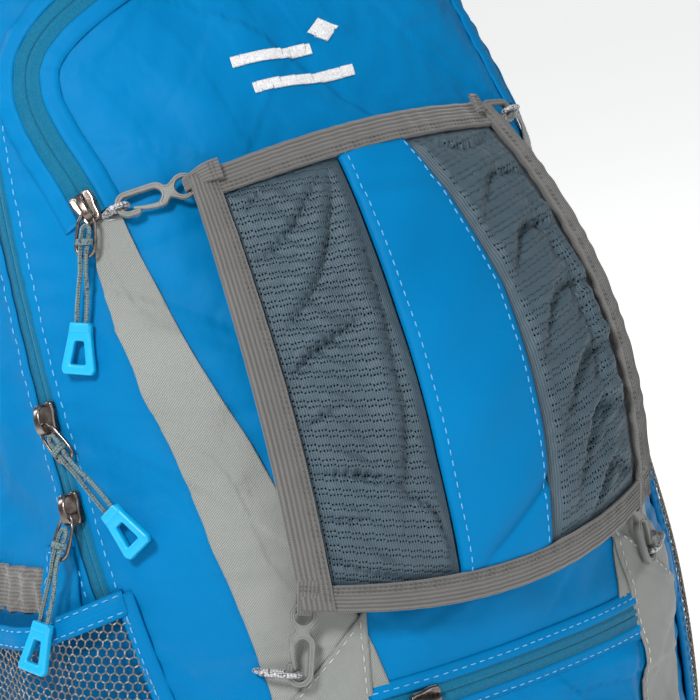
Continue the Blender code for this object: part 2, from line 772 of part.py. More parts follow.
def away_from(path, centre):
    """Stations whose normals point from a line across the pack towards the path."""
    stations = []
    for index, point in enumerate(path):
        run = path[min(index + 1, len(path) - 1)] - path[max(index - 1, 0)]
        side = Vector((1, 0, 0)) - run.normalized() * run.normalized().x
        normal = run.cross(side).normalized()
        if normal.dot(point - Vector((point.x, *centre))) < 0:
            normal = -normal
        stations.append((point, normal))
    return stations


def shoulder_strap(side, sign):
    swing = pivot("shoulder_swing_" + side, mirrored([SHOULDER_TOP], sign)[0])
    route = away_from(smooth(mirrored(SHOULDER_ROUTE, sign), 19), SHOULDER_CENTRE)
    pad = ribbon("shoulder_pad_" + side, route, SHOULDER_WIDTH, SHOULDER_THICKNESS, across=2)
    hold(finish(pad, BLACK, 0.9), swing)
    route = away_from(smooth(mirrored(LOWER_WEBBING_ROUTE, sign), 6), SHOULDER_CENTRE)
    web = ribbon("shoulder_webbing_" + side, route, LOWER_WEBBING_WIDTH, WEBBING)
    hold(finish(web, BLACK, 0.8), swing)
    upper, lower = mirrored(LOCK_ENDS, sign)
    place = frame_at((upper + lower) / 2, lower - upper, (0, 1, 0.3))
    half = (lower - upper).length / 2
    frame = [(-half, -LOCK_HALF), (half, -LOCK_HALF), (half, LOCK_HALF), (-half, LOCK_HALF)]
    slots = []
    for start in (-half + LOCK_BAR, LOCK_BAR / 2):
        end = start + half - 1.5 * LOCK_BAR
        slots.append([(start, -LOCK_SLOT), (end, -LOCK_SLOT), (end, LOCK_SLOT), (start, LOCK_SLOT)])
    lock = plate("ladder_lock_" + side, [frame, *slots], LOCK_THICKNESS, place)
    hold(finish(lock, BLACK, 0.5), swing)
    return swing


def sternum_half(side, sign, swing):
    """Adjuster on the strap's outer face, with a short hanging webbing that ends in half a buckle."""
    at = mirrored([STERNUM_SEAT], sign)[0]
    rail = pivot("sternum_rail_" + side, at, swing)
    adjuster = block("sternum_adjuster_" + side, (0.014, 0.005, 0.024), Matrix.Translation(at), 0.001)
    hold(finish(adjuster, BLACK, 0.5), rail)
    knee = at + Vector((0, 0, STERNUM_KNEE))
    drop = pivot("sternum_drop_" + side, knee, rail)
    stations = [(knee + Vector((0, 0, -0.001 - 0.009 * k)), (0, 1, 0)) for k in range(5)]
    web = ribbon("sternum_webbing_" + side, stations, STERNUM_WEBBING_WIDTH, WEBBING)
    hold(finish(web, BLACK, 0.8), drop)
    foot = knee + Vector((0, 0.0009, -0.0375))
    half_name = "female" if sign < 0 else "male"
    if sign < 0:
        outline = [(-0.012, 0), (-0.012, -0.026), (0.012, -0.026), (0.012, 0)]
    else:
        outline = [(-0.012, 0), (-0.012, -0.010), (-0.0095, -0.012), (-0.0095, -0.027), (-0.006, -0.027),
                   (-0.006, -0.014), (0.006, -0.014), (0.006, -0.027), (0.0095, -0.027), (0.0095, -0.012),
                   (0.012, -0.010), (0.012, 0)]
    upright = Matrix(((1, 0, 0, 0), (0, 0, 1, 0), (0, 1, 0, 0), (0, 0, 0, 1)))
    thickness = 0.0075 if sign < 0 else 0.0045
    buckle = plate("sternum_buckle_" + half_name, [outline], thickness, Matrix.Translation(foot) @ upright)
    hold(finish(buckle, BLACK, 0.45), drop)


def hip_half(side, sign):
    anchor = mirrored([HIP_ANCHOR], sign)[0]
    swing = pivot("hip_swing_" + side, anchor)
    path = smooth(mirrored(HIP_ROUTE, sign), 17)
    stations = []
    for index, point in enumerate(path):
        run = path[min(index + 1, len(path) - 1)] - path[max(index - 1, 0)]
        stations.append((point, run.cross(Vector((0, 0, 1))).normalized() * -sign))
    web = ribbon("hip_webbing_" + side, stations, HIP_WEBBING_WIDTH, WEBBING)
    hold(finish(web, BLACK, 0.8), swing)
    face = Matrix(((1, 0, 0, 0), (0, 0, -1, 0), (0, 1, 0, 0), (0, 0, 0, 1)))
    place = Matrix.Translation(HIP_BUCKLE) @ face
    if sign < 0:
        shell = [(-0.0335, -0.018), (0.004, -0.018), (0.004, 0.018), (-0.0335, 0.018)]
        female = plate("hip_buckle_female", [shell], 0.011, place)
        mouth = [(-0.020, -0.0150), (0.03, -0.0150), (0.03, 0.0150), (-0.020, 0.0150)]
        socket = plate("hip_socket", [mouth], 0.0065, place)
        return hold(finish(as_mesh(combine(female, socket, "DIFFERENCE")), BLACK, 0.45), swing)
    upper = [(0.0335, 0.018), (0.005, 0.018), (0.005, 0.0145), (-0.016, 0.0145), (-0.018, 0.010),
             (-0.012, 0.009), (0.003, 0.010)]
    prongs = upper + [(x, -y) for x, y in reversed(upper)]
    male = plate("hip_buckle_male", [prongs], 0.0055, place)
    return hold(finish(male, BLACK, 0.45), swing)


def haul_loop():
    path = smooth(mirrored(HAUL_ROUTE, 1), 19)
    foot = (path[0] + path[-1]) / 2
    swing = pivot("haul_swing", foot)
    plane = (path[len(path) // 2] - foot).normalized()
    across = Vector((1, 0, 0)).cross(plane)
    stations = []
    for index, point in enumerate(path):
        run = path[min(index + 1, len(path) - 1)] - path[max(index - 1, 0)]
        stations.append((point, across.cross(run).normalized()))
    loop = ribbon("haul_loop", stations, 0.020, 0.0030)
    return hold(finish(loop, BLACK, 0.85), swing)


def harness():
    back_pad("back_pad_left", -0.082, -0.018, 0.112, 0.396)
    back_pad("back_pad_right", 0.018, 0.082, 0.112, 0.396)
    back_pad("lumbar_pad", -0.074, 0.074, 0.034, 0.106)
    haul_loop()
    for side, sign in (("left", -1), ("right", 1)):
        swing = shoulder_strap(side, sign)
        sternum_half(side, sign, swing)
        hip_half(side, sign)


def daypack():
    main_compartment()
    front_compartment()
    lower_front_pocket()
    zips()
    places = hook_places()
    holder(places)
    snap_hooks(places)
    cord_loops(places)
    for side, sign in (("left", -1), ("right", 1)):
        side_pocket(side, sign)
        side_strap(side, sign)
    harness()


daypack()
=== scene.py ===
# Looks of the daypack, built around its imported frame.  Metres, +Z up, the front faces -Y.

import math

import bmesh
import bpy
import numpy as np
from mathutils import Matrix, Vector


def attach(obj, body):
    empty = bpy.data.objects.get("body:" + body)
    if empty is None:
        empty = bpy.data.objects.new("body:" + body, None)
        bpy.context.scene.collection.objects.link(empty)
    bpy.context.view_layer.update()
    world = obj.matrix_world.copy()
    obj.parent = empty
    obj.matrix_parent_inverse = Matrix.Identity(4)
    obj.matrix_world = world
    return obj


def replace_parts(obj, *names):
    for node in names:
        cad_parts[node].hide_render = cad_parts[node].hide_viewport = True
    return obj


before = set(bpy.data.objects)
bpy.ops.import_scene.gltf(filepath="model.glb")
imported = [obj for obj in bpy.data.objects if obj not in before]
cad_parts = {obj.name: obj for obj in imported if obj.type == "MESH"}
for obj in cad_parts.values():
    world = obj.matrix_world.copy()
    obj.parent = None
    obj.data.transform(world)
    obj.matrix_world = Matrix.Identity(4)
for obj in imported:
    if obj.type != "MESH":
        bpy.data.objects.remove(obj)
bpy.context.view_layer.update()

MM = 0.001
TAU = 2 * math.pi
SIDES = (("left", -1), ("right", 1))

# Bag envelope: height, half width, depth in front of and behind the origin plane, in millimetres.
STATIONS = np.array((
    (0, 122, 112, 42),
    (22, 148, 139, 60),
    (60, 155, 145, 62),
    (110, 156, 147, 62),
    (150, 154, 148, 62),
    (200, 150, 143, 62),
    (300, 139, 116, 62),
    (380, 125, 77, 58),
    (445, 94, 44, 46),
    (476, 58, 24, 31),
    (488, 12, 6, 8),
)) * MM
WIDE, AHEAD, BEHIND = 1, 2, 3
FRONT_POWER = 2.4
BACK_POWER = 5.0
BAG_HEIGHT = 0.488
BASE_TOP = 0.019
GRADIENT_STEP = 0.0002

# The main zip's plane leans back with height.
SPLIT_AT_FLOOR = -0.107
SPLIT_SLOPE = 0.226
SPLIT_SECANT = math.hypot(1, SPLIT_SLOPE)

MAIN_ZIP_FOOT = 0.177
# Right half of the front zip's arch and its crown: across and up, in millimetres.
FRONT_ZIP_HALF = (
    (112, 329), (113, 345), (114.5, 362), (114, 378), (109, 394), (98, 407), (80, 418), (56, 428), (28, 434),
)
FRONT_ZIP_CROWN = 436
LOWER_ZIP_HEIGHT = 0.112
LOWER_ZIP_HALF = 0.072

# Holder panel.
HOLDER_TOP = 0.333
HOLDER_FOOT = 0.162
HOLDER_HALF_TOP = 0.078
HOLDER_HALF_FOOT = 0.090
HOLDER_CROWN = 0.006
HOLDER_SAG = 0.014
HOLDER_LIFT = 0.0085
HOLDER_BULGE = 0.0050
HOLDER_BELLY = 0.0035
HOLDER_RIGHT_BOW = 0.005
HOLDER_RIGHT_TOP_PULL = 0.012
HOLDER_RIGHT_FOOT_PULL = 0.010
BINDING_WIDTH = 0.0095


# ---------------------------------------------------------------- bag surface

def profile_slopes():
    """Slopes of smooth curves through the columns of STATIONS that never overshoot their points."""
    steps = np.diff(STATIONS[:, 1:], axis=0) / np.diff(STATIONS[:, :1], axis=0)
    slopes = np.zeros_like(STATIONS[:, 1:])
    slopes[0], slopes[-1] = steps[0], steps[-1]
    before, after = steps[:-1], steps[1:]
    total = np.where(before * after > 0, before + after, 1.0)
    slopes[1:-1] = np.where(before * after > 0, 2 * before * after / total, 0.0)
    return slopes


SLOPES = profile_slopes()


def profile(column, z):
    """One column of STATIONS at heights z."""
    z = np.clip(z, STATIONS[0, 0], STATIONS[-1, 0])
    index = np.clip(np.searchsorted(STATIONS[:, 0], z) - 1, 0, len(STATIONS) - 2)
    low, high = STATIONS[index], STATIONS[index + 1]
    span = high[..., 0] - low[..., 0]
    t = (z - low[..., 0]) / span
    start, end = SLOPES[index, column - 1] * span, SLOPES[index + 1, column - 1] * span
    value = (2 * t ** 3 - 3 * t ** 2 + 1) * low[..., column] + (t ** 3 - 2 * t ** 2 + t) * start
    return value + (3 * t ** 2 - 2 * t ** 3) * high[..., column] + (t ** 3 - t ** 2) * end


def depth_power(y, z):
    ahead = np.asarray(y) < 0
    depth = np.where(ahead, profile(AHEAD, z), profile(BEHIND, z))
    return depth, np.where(ahead, FRONT_POWER, BACK_POWER)


def bag_level(p):
    """1 on the bag's surface, less inside it and more outside it."""
    depth, power = depth_power(p[..., 1], p[..., 2])
    across = np.abs(p[..., 0] / profile(WIDE, p[..., 2]))
    return (across ** power + np.abs(p[..., 1] / depth) ** power) ** (1 / power)


def bag_gradient(p):
    slopes = []
    for axis in range(3):
        move = np.zeros(3)
        move[axis] = GRADIENT_STEP
        slopes.append((bag_level(p + move) - bag_level(p - move)) / (2 * GRADIENT_STEP))
    return np.stack(slopes, -1)


def unit(v):
    return v / np.maximum(np.linalg.norm(v, axis=-1, keepdims=True), 1e-12)


def bag_normal(p):
    p = np.asarray(p, float)
    normal = unit(bag_gradient(p))
    normal[p[..., 2] > BAG_HEIGHT - 0.0004] = (0, 0, 1)
    return normal


def settled(p):
    """Points moved onto the bag's surface."""
    p = np.array(p, float)
    for _ in range(3):
        gradient = bag_gradient(p)
        steepness = np.maximum((gradient ** 2).sum(-1, keepdims=True), 1e-9)
        step = (bag_level(p) - 1)[..., None] * gradient / steepness
        low = (p[..., 2] < BAG_HEIGHT - 0.002)[..., None]
        p -= np.where(low, step, 0)
    return p


def stacked(x, y, z):
    return np.stack(np.broadcast_arrays(x, y, z), -1).astype(float)


def front_point(x, z):
    span = np.clip(1 - np.abs(x / profile(WIDE, z)) ** FRONT_POWER, 0, None)
    return stacked(x, -profile(AHEAD, z) * span ** (1 / FRONT_POWER), z)


def back_point(x, z):
    span = np.clip(1 - np.abs(x / profile(WIDE, z)) ** BACK_POWER, 0, None)
    return stacked(x, profile(BEHIND, z) * span ** (1 / BACK_POWER), z)


def side_point(sign, y, z):
    depth, power = depth_power(y, z)
    span = np.clip(1 - np.abs(y / depth) ** power, 0, None)
    return stacked(sign * profile(WIDE, z) * span ** (1 / power), y, z)


def ring_point(angle, z):
    """Point of the bag at height z; angle 0 is the centre front and pi is the centre back."""
    s, c = np.sin(angle), np.cos(angle)
    depth, power = depth_power(-c, z)
    reach = (np.abs(s) ** power + np.abs(c) ** power) ** (-1 / power)
    return stacked(profile(WIDE, z) * s * reach, -depth * c * reach, z)


def ring_angle(y, z):
    """Angle of the bag's left or right point at depth y and height z."""
    depth, power = depth_power(y, z)
    share = np.clip(np.abs(y) / depth, 0, 1)
    return np.arctan2((1 - share ** power) ** (1 / power), -y / depth)


def split_y(z):
    return SPLIT_AT_FLOOR + SPLIT_SLOPE * z


# ---------------------------------------------------------------- lines on the bag

def lengths(p):
    return np.concatenate([[0.0], np.cumsum(np.linalg.norm(np.diff(p, axis=0), axis=1))])


def points_at(p, along, at):
    """Points of a line at distances along it."""
    return np.stack([np.interp(at, along, p[:, k]) for k in range(3)], -1)


def resample(p, step=None, count=None):
    """Even points along a line, a step apart or of a given count."""
    p = np.asarray(p, float)
    along = lengths(p)
    count = count or max(int(round(along[-1] / step)) + 1, 2)
    return points_at(p, along, np.linspace(0, along[-1], count))


def ease(value):
    value = np.clip(value, 0, 1)
    return value * value * (3 - 2 * value)


def smooth(points, step):
    """Evenly stepped points of a smooth curve through the given ones."""
    p = np.asarray(points, float)
    ends = np.vstack([2 * p[0] - p[1], p, 2 * p[-1] - p[-2]])
    fine = []
    for k in range(len(p) - 1):
        a, b, c, d = ends[k:k + 4]
        t = np.linspace(0, 1, 24, endpoint=False)[:, None]
        fine.append(0.5 * (2 * b + (c - a) * t + (2 * a - 5 * b + 4 * c - d) * t ** 2
                           + (3 * b - a - 3 * c + d) * t ** 3))
    return resample(np.vstack(fine + [p[-1:]]), step)


def curve_at(points, at):
    """A smooth curve through (place, value) points given in millimetres, at places in metres."""
    points = np.asarray(points, float) * MM
    points = points[np.argsort(points[:, 0])]
    fine = smooth(np.column_stack([points, np.zeros(len(points))]), 0.001)
    return np.interp(at, fine[:, 0], fine[:, 1])


def mirror(p):
    return np.asarray(p) * (-1, 1, 1)


def main_zip_line():
    heights = np.concatenate([np.arange(MAIN_ZIP_FOOT, 0.43, 0.006), np.linspace(0.434, 0.4876, 40)])
    half = side_point(-1, split_y(heights), heights)
    crown = np.array([[0, split_y(BAG_HEIGHT), BAG_HEIGHT]])
    return np.vstack([half, crown, mirror(half)[::-1]])


def front_zip_line():
    places = [(-x, z) for x, z in FRONT_ZIP_HALF] + [(0, FRONT_ZIP_CROWN)]
    places += [(x, z) for x, z in reversed(FRONT_ZIP_HALF)]
    flat = smooth([(x * MM, 0, z * MM) for x, z in places], 0.002)
    return front_point(flat[:, 0], flat[:, 2])


def lower_zip_line():
    return front_point(np.linspace(-LOWER_ZIP_HALF, LOWER_ZIP_HALF, 60), LOWER_ZIP_HEIGHT)


FRONT_ZIP = front_zip_line()
LOWER_ZIP = lower_zip_line()


def away(p, line):
    """Distance of each point from a line of points."""
    flat = p.reshape(-1, 3)
    found = np.empty(len(flat))
    for start in range(0, len(flat), 20000):
        block = flat[start:start + 20000]
        found[start:start + 20000] = np.sqrt(((block[:, None] - line[None, ::3]) ** 2).sum(-1)).min(1)
    return found.reshape(p.shape[:-1])


# Folds of the bag's fabric: wavelength, direction, phase and height, in millimetres and degrees.
FOLDS = (
    (128, 62, 0.6, 1.9),
    (74, 108, 2.1, 1.4),
    (43, 35, 4.0, 0.85),
    (26, 75, 1.1, 0.42),
    (15, 130, 5.2, 0.15),
)
SIDE_FOLDS = ((58, 20, 0.4, 1.2), (37, 155, 2.9, 0.8), (23, 40, 4.4, 0.36))


def waves(s, z, folds):
    total = np.zeros(np.broadcast(s, z).shape)
    for wavelength, direction, phase, height in folds:
        a, k = math.radians(direction), TAU / (wavelength * MM)
        across, along = s * math.cos(a) + z * math.sin(a), z * math.cos(a) - s * math.sin(a)
        swing = np.sin(k * across + 1.3 * np.sin(k * along / 2.7 + phase) + phase)
        total += height * MM * (swing + 0.35 * (1 - np.abs(swing)) ** 3 * np.sign(swing))
    return total


def relief(p):
    """How far the fabric stands off the plain bag surface."""
    x, y, z = p[..., 0], p[..., 1], p[..., 2]
    from_main = np.abs(y - split_y(z)) / SPLIT_SECANT
    calm = 1 - np.exp(-(from_main / 0.018) ** 2)
    calm *= 1 - np.exp(-(away(p, FRONT_ZIP) / 0.016) ** 2)
    calm *= 1 - np.exp(-(away(p, LOWER_ZIP) / 0.018) ** 2)
    around = np.arctan2(np.abs(x) / profile(WIDE, z), -y / depth_power(y, z)[0])
    s = around * np.sign(x) * 0.14
    flank = np.exp(-((around - 1.65) / 0.42) ** 2)
    back = 1 / (1 + np.exp(-(around - 2.2) / 0.06))
    broad = waves(s, z, FOLDS) * (1 - 0.8 * back) + waves(s, z, SIDE_FOLDS) * flank
    top = np.clip((BAG_HEIGHT - z) / 0.05, 0, 1)
    zipped = 1 / (1 + np.exp(-(z - MAIN_ZIP_FOOT + 0.004) / 0.004))
    lip = 0.0029 * np.exp(-(np.clip(from_main - 0.0045, 0, None) / 0.0065) ** 2) * zipped
    pucker = 0.00045 * np.sin(TAU * z / 0.0135 + np.sin(TAU * z / 0.051))
    pucker *= np.exp(-((from_main - 0.012) / 0.007) ** 2)
    return (broad * calm + pucker) * top + lip


def laid(p, lift=0.0):
    """Points put on the bag's folded fabric, a distance above it."""
    p = settled(p)
    p = p + bag_normal(p) * (relief(p) + np.asarray(lift))[..., None]
    return np.concatenate([p[..., :2], np.maximum(p[..., 2:], 0)], -1)


# ---------------------------------------------------------------- mesh makers

def placed(name, mesh, material, body):
    """Object of a mesh in its material, riding on a body of the frame."""
    obj = bpy.data.objects.new(name, mesh)
    bpy.context.scene.collection.objects.link(obj)
    mesh.materials.append(material)
    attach(obj, body)
    return obj


def make_mesh(name, points, faces, material, body="bag", uv=None):
    mesh = bpy.data.meshes.new(name)
    mesh.from_pydata(np.asarray(points, float).tolist(), [], faces)
    if uv is not None:
        layer = mesh.uv_layers.new(name="UVMap")
        index = np.zeros(len(mesh.loops), np.int32)
        mesh.loops.foreach_get("vertex_index", index)
        layer.data.foreach_set("uv", np.asarray(uv, np.float32)[index].ravel())
    mesh.polygons.foreach_set("use_smooth", [True] * len(mesh.polygons))
    mesh.validate()
    mesh.update()
    return placed(name, mesh, material, body)


def grid_faces(rows, columns, close_columns=False, close_rows=False, flip=False):
    i = np.arange(rows if close_rows else rows - 1)[:, None]
    j = np.arange(columns if close_columns else columns - 1)[None, :]
    i2, j2 = (i + 1) % rows, (j + 1) % columns
    corners = [i * columns + j, i * columns + j2, i2 * columns + j2, i2 * columns + j]
    faces = np.stack(np.broadcast_arrays(*corners), -1).reshape(-1, 4)
    return faces[:, ::-1] if flip else faces


def thicken(obj, thickness):
    """Gives a surface thickness on its inner side."""
    solid = obj.modifiers.new("thickness", "SOLIDIFY")
    solid.thickness = thickness
    solid.offset = -1


def grid(name, p, material, uv, thickness):
    """Cloth on the bag through rows of points, given thickness on its inner side."""
    rows, columns = p.shape[:2]
    i, j = rows // 2, columns // 2
    normal = np.cross(p[i, j + 1] - p[i, j], p[i + 1, j] - p[i, j])
    faces = grid_faces(rows, columns, flip=float(normal @ bag_normal(p[i, j])) < 0)
    obj = make_mesh(name, p.reshape(-1, 3), faces.tolist(), material, uv=uv.reshape(-1, 2))
    thicken(obj, thickness)
    return obj


def grid_uv(p):
    """Metre-scaled coordinates of a grid: along its rows from the middle, and up its columns."""
    rows, columns = p.shape[:2]
    right = np.cumsum(np.linalg.norm(np.diff(p, axis=1), axis=2), axis=1)
    up = np.cumsum(np.linalg.norm(np.diff(p, axis=0), axis=2), axis=0)
    u = np.concatenate([np.zeros((rows, 1)), right], axis=1)
    u -= u[:, columns // 2][:, None]
    v = np.concatenate([np.zeros((1, columns)), up])
    v = np.broadcast_to(v[:, columns // 2][:, None], u.shape)
    return np.stack([u, v], -1)


def sweep(name, lines, material, body="bag", closed_line=False, along=None, around=None):
    """Solid through parallel lines of points, capped at their ends unless the lines are closed."""
    lines = np.asarray(lines, float)
    sections, count = lines.shape[:2]
    p = lines.transpose(1, 0, 2)
    if along is None:
        along = lengths(lines[0])
    if around is None:
        around = np.arange(sections) / sections
    uv = np.stack(np.meshgrid(around, along), -1).reshape(-1, 2)
    faces = grid_faces(count, sections, True, closed_line).tolist()
    if not closed_line:
        faces.append(list(range(sections)))
        faces.append([(count - 1) * sections + k for k in reversed(range(sections))])
    middle = count // 2
    start = p[middle, 0]
    normal = np.cross(p[middle, 1] - start, p[(middle + 1) % count, 0] - start)
    if float(normal @ (start - p.mean(1)[middle])) < 0:
        faces = [face[::-1] for face in faces]
    return make_mesh(name, p.reshape(-1, 3), faces, material, body, uv)


def tangents(p, closed=False):
    if closed:
        return unit(np.roll(p, -1, 0) - np.roll(p, 1, 0))
    return unit(np.gradient(p, axis=0))


def framing(p, closed=False, start=None):
    """Two directions square to a line of points that turn as little as possible along it."""
    t = tangents(p, closed)
    guide = np.array((0.0, 0.0, 1.0)) if start is None else np.asarray(start, float)
    if abs(float(guide @ t[0])) > 0.95:
        guide = np.array((1.0, 0.0, 0.0))
    first = [unit(guide - t[0] * (guide @ t[0]))]
    for k in range(1, len(p)):
        v = first[-1] - t[k] * float(first[-1] @ t[k])
        first.append(unit(v))
    first = np.array(first)
    return first, np.cross(t, first)


def tube(name, p, radius, material, body="bag", sides=10, closed=False, start=None):
    """Round rod along points; radius may vary along it."""
    p = np.asarray(p, float)
    a, b = framing(p, closed, start)
    radius = np.broadcast_to(np.asarray(radius, float), len(p))[:, None]
    lines = []
    for k in range(sides):
        turn = TAU * k / sides
        lines.append(p + a * radius * math.cos(turn) + b * radius * math.sin(turn))
    return sweep(name, lines, material, body, closed_line=closed, along=lengths(p))


def sideways(p):
    """Directions to the right of a line of points on the bag."""
    return unit(np.cross(tangents(p), bag_normal(p)))


def strip(name, line, section, material, step=0.002, ripple=None):
    """Band of fabric or tape that follows a line on the bag; section is (across, height) in millimetres."""
    p = resample(line, step)
    side = sideways(p)
    along = lengths(p)
    section = np.asarray(section, float) * MM
    lines = []
    for across, height in section:
        extra = 0 if ripple is None else ripple(across, along)
        lines.append(laid(p + side * across, height + extra))
    return sweep(name, lines, material, along=along, around=section[:, 0])


def capsules(name, starts, ends, radius, material, body="bag", sides=6):
    """Many short rounded rods in one mesh."""
    starts, ends = np.asarray(starts, float), np.asarray(ends, float)
    t = unit(ends - starts)
    guide = np.where(np.abs(t[:, 2:]) < 0.9, np.array([[0, 0, 1.0]]), np.array([[1.0, 0, 0]]))
    a = unit(np.cross(t, guide))
    b = np.cross(t, a)
    rings = ((0.0, 0.35), (0.12, 0.85), (0.5, 1.0), (0.88, 0.85), (1.0, 0.35))
    points, faces = [], []
    for share, size in rings:
        centre = starts + (ends - starts) * share
        for k in range(sides):
            turn = TAU * k / sides
            points.append(centre + (a * math.cos(turn) + b * math.sin(turn)) * radius * size)
    points = np.stack(points, 1)
    count, per = points.shape[:2]
    pattern = grid_faces(len(rings), sides, close_columns=True).tolist()
    pattern += [list(range(sides))[::-1], [(len(rings) - 1) * sides + k for k in range(sides)]]
    for k in range(count):
        faces += [[k * per + index for index in face] for face in pattern]
    return make_mesh(name, points.reshape(-1, 3), faces, material, body)


def stitches(name, line, material, lift=0.0003, dash=0.0026, gap=0.0019, radius=0.0003, body="bag",
             on_bag=True):
    """A run of stitches along a line; each dash dips into the fabric at its ends."""
    fine = resample(line, 0.0006)
    along = lengths(fine)
    first = np.arange(gap, along[-1] - dash - gap, dash + gap)
    ends = [points_at(fine, along, first + shift) for shift in (0.0, dash)]
    if on_bag:
        ends = [laid(points, lift) for points in ends]
    capsules(name, ends[0], ends[1], radius, material, body)


def beside(line, across):
    """A line on the bag that runs a distance to the right of another."""
    p = resample(line, 0.003)
    return settled(p + sideways(p) * across)


# ---------------------------------------------------------------- materials

def shader(name, roughness=0.7, metallic=0.0, slot=None, **sockets):
    material = bpy.data.materials.new(name)
    material.use_nodes = True
    if slot:
        material["slot"] = slot
    tree = material.node_tree
    surface = tree.nodes["Principled BSDF"]
    surface.inputs["Roughness"].default_value = roughness
    surface.inputs["Metallic"].default_value = metallic
    for key, value in sockets.items():
        surface.inputs[key.replace("_", " ")].default_value = value
    return material, tree, surface


def node(tree, kind, *inputs, **settings):
    made = tree.nodes.new(kind)
    for key, value in settings.items():
        setattr(made, key, value)
    for index, value in enumerate(inputs):
        if value is None:
            continue
        if isinstance(value, bpy.types.NodeSocket):
            tree.links.new(value, made.inputs[index])
        else:
            made.inputs[index].default_value = value
    return made


def calc(tree, operation, *inputs):
    return node(tree, "ShaderNodeMath", *inputs, operation=operation).outputs[0]


def place(tree, source="Object"):
    return node(tree, "ShaderNodeTexCoord").outputs[source]


def split(tree, vector):
    return node(tree, "ShaderNodeSeparateXYZ", vector).outputs


def stripes(tree, coordinate, pitch, shift=0.0):
    """A wave from 0 to 1 along a coordinate in metres."""
    angle = calc(tree, "MULTIPLY_ADD", coordinate, TAU / pitch, shift)
    return calc(tree, "MULTIPLY_ADD", calc(tree, "SINE", angle), 0.5, 0.5)


def noise(tree, vector, scale, detail=2.0, roughness=0.5):
    made = node(tree, "ShaderNodeTexNoise", vector)
    made.inputs["Scale"].default_value = scale
    made.inputs["Detail"].default_value = detail
    made.inputs["Roughness"].default_value = roughness
    return made.outputs["Fac"]


# All painted colours are held back by this share, and the lamps are stronger to match,
# so that folds are seen.
ALBEDO = 0.74


def ramp(tree, value, stops):
    made = node(tree, "ShaderNodeValToRGB", value)
    elements = made.color_ramp.elements
    while len(elements) < len(stops):
        elements.new(0.5)
    for element, (position, colour) in zip(elements, stops):
        element.position = position
        element.color = (*(channel * ALBEDO for channel in colour), 1)
    return made.outputs["Color"]


def blend_colours(tree, share, low, high):
    made = node(tree, "ShaderNodeMix", data_type="RGBA")
    for socket, value in zip((made.inputs[0], made.inputs[6], made.inputs[7]), (share, low, high)):
        if isinstance(value, bpy.types.NodeSocket):
            tree.links.new(value, socket)
        else:
            socket.default_value = (*value, 1) if isinstance(value, tuple) else value
    return made.outputs[2]


def bump(tree, surface, layers):
    """Chains (height, depth in millimetres) layers into the surface's normal."""
    normal = None
    for height, depth in layers:
        made = node(tree, "ShaderNodeBump")
        made.inputs["Strength"].default_value = 1.0
        made.inputs["Distance"].default_value = depth * MM
        tree.links.new(height, made.inputs["Height"])
        if normal:
            tree.links.new(normal, made.inputs["Normal"])
        normal = made.outputs["Normal"]
    tree.links.new(normal, surface.inputs["Normal"])


def paint(tree, surface, value, stops):
    """Base colour from a value, through stops of place and colour."""
    tree.links.new(ramp(tree, value, stops), surface.inputs["Base Color"])


def polish(tree, surface, value, low, high):
    """Roughness from low to high as a value goes from 0 to 1."""
    spread = node(tree, "ShaderNodeMapRange", value, 0.0, 1.0, low, high)
    tree.links.new(spread.outputs[0], surface.inputs["Roughness"])


def weighed(tree, first, first_share, second, second_share):
    """Two values added together, each times its share."""
    return calc(tree, "MULTIPLY_ADD", first, first_share, calc(tree, "MULTIPLY", second, second_share))


def checks(tree, uv, across, along, shift=0.0):
    """Spots in rows and columns, where two sets of stripes cross."""
    return calc(tree, "MULTIPLY", stripes(tree, uv[0], across, shift), stripes(tree, uv[1], along, shift))


def woven_nylon(name, slot, bright, deep, pitch=0.0006):
    """Coated pack cloth: a fine plain weave, faint crumples and a soft sheen."""
    gloss = 0.46
    material, tree, surface = shader(name, gloss, slot=slot, Specular_IOR_Level=0.05)
    uv = split(tree, place(tree, "UV"))
    where = place(tree)
    weave = checks(tree, uv, pitch, pitch)
    broad = noise(tree, where, 9.0, 3.0)
    fine = noise(tree, where, 70.0, 4.0, 0.6)
    paint(tree, surface, weighed(tree, weave, 0.22, broad, 0.85), ((0.25, deep), (0.75, bright)))
    polish(tree, surface, fine, gloss - 0.07, gloss + 0.10)
    bump(tree, surface, ((noise(tree, where, 38.0, 3.0), 0.9), (fine, 0.25), (weave, 0.05)))
    return material


def twill(name, slot, bright, deep, pitch):
    """Grey pack cloth with a bold diagonal weave."""
    material, tree, surface = shader(name, 0.62, slot=slot, Sheen_Weight=0.2)
    uv = split(tree, place(tree, "UV"))
    where = place(tree)
    slant = calc(tree, "ADD", calc(tree, "MULTIPLY", uv[0], 0.8), uv[1])
    counter_slant = calc(tree, "SUBTRACT", uv[0], calc(tree, "MULTIPLY", uv[1], 0.45))
    rib = stripes(tree, slant, pitch)
    cross = stripes(tree, counter_slant, pitch * 0.62)
    weave = weighed(tree, cross, 0.3, rib, 0.7)
    dust = noise(tree, where, 14.0, 4.0)
    paint(tree, surface, weighed(tree, weave, 0.75, dust, 0.3), ((0.15, deep), (0.85, bright)))
    bump(tree, surface, ((noise(tree, where, 45.0, 3.0), 0.6), (weave, 0.16)))
    return material


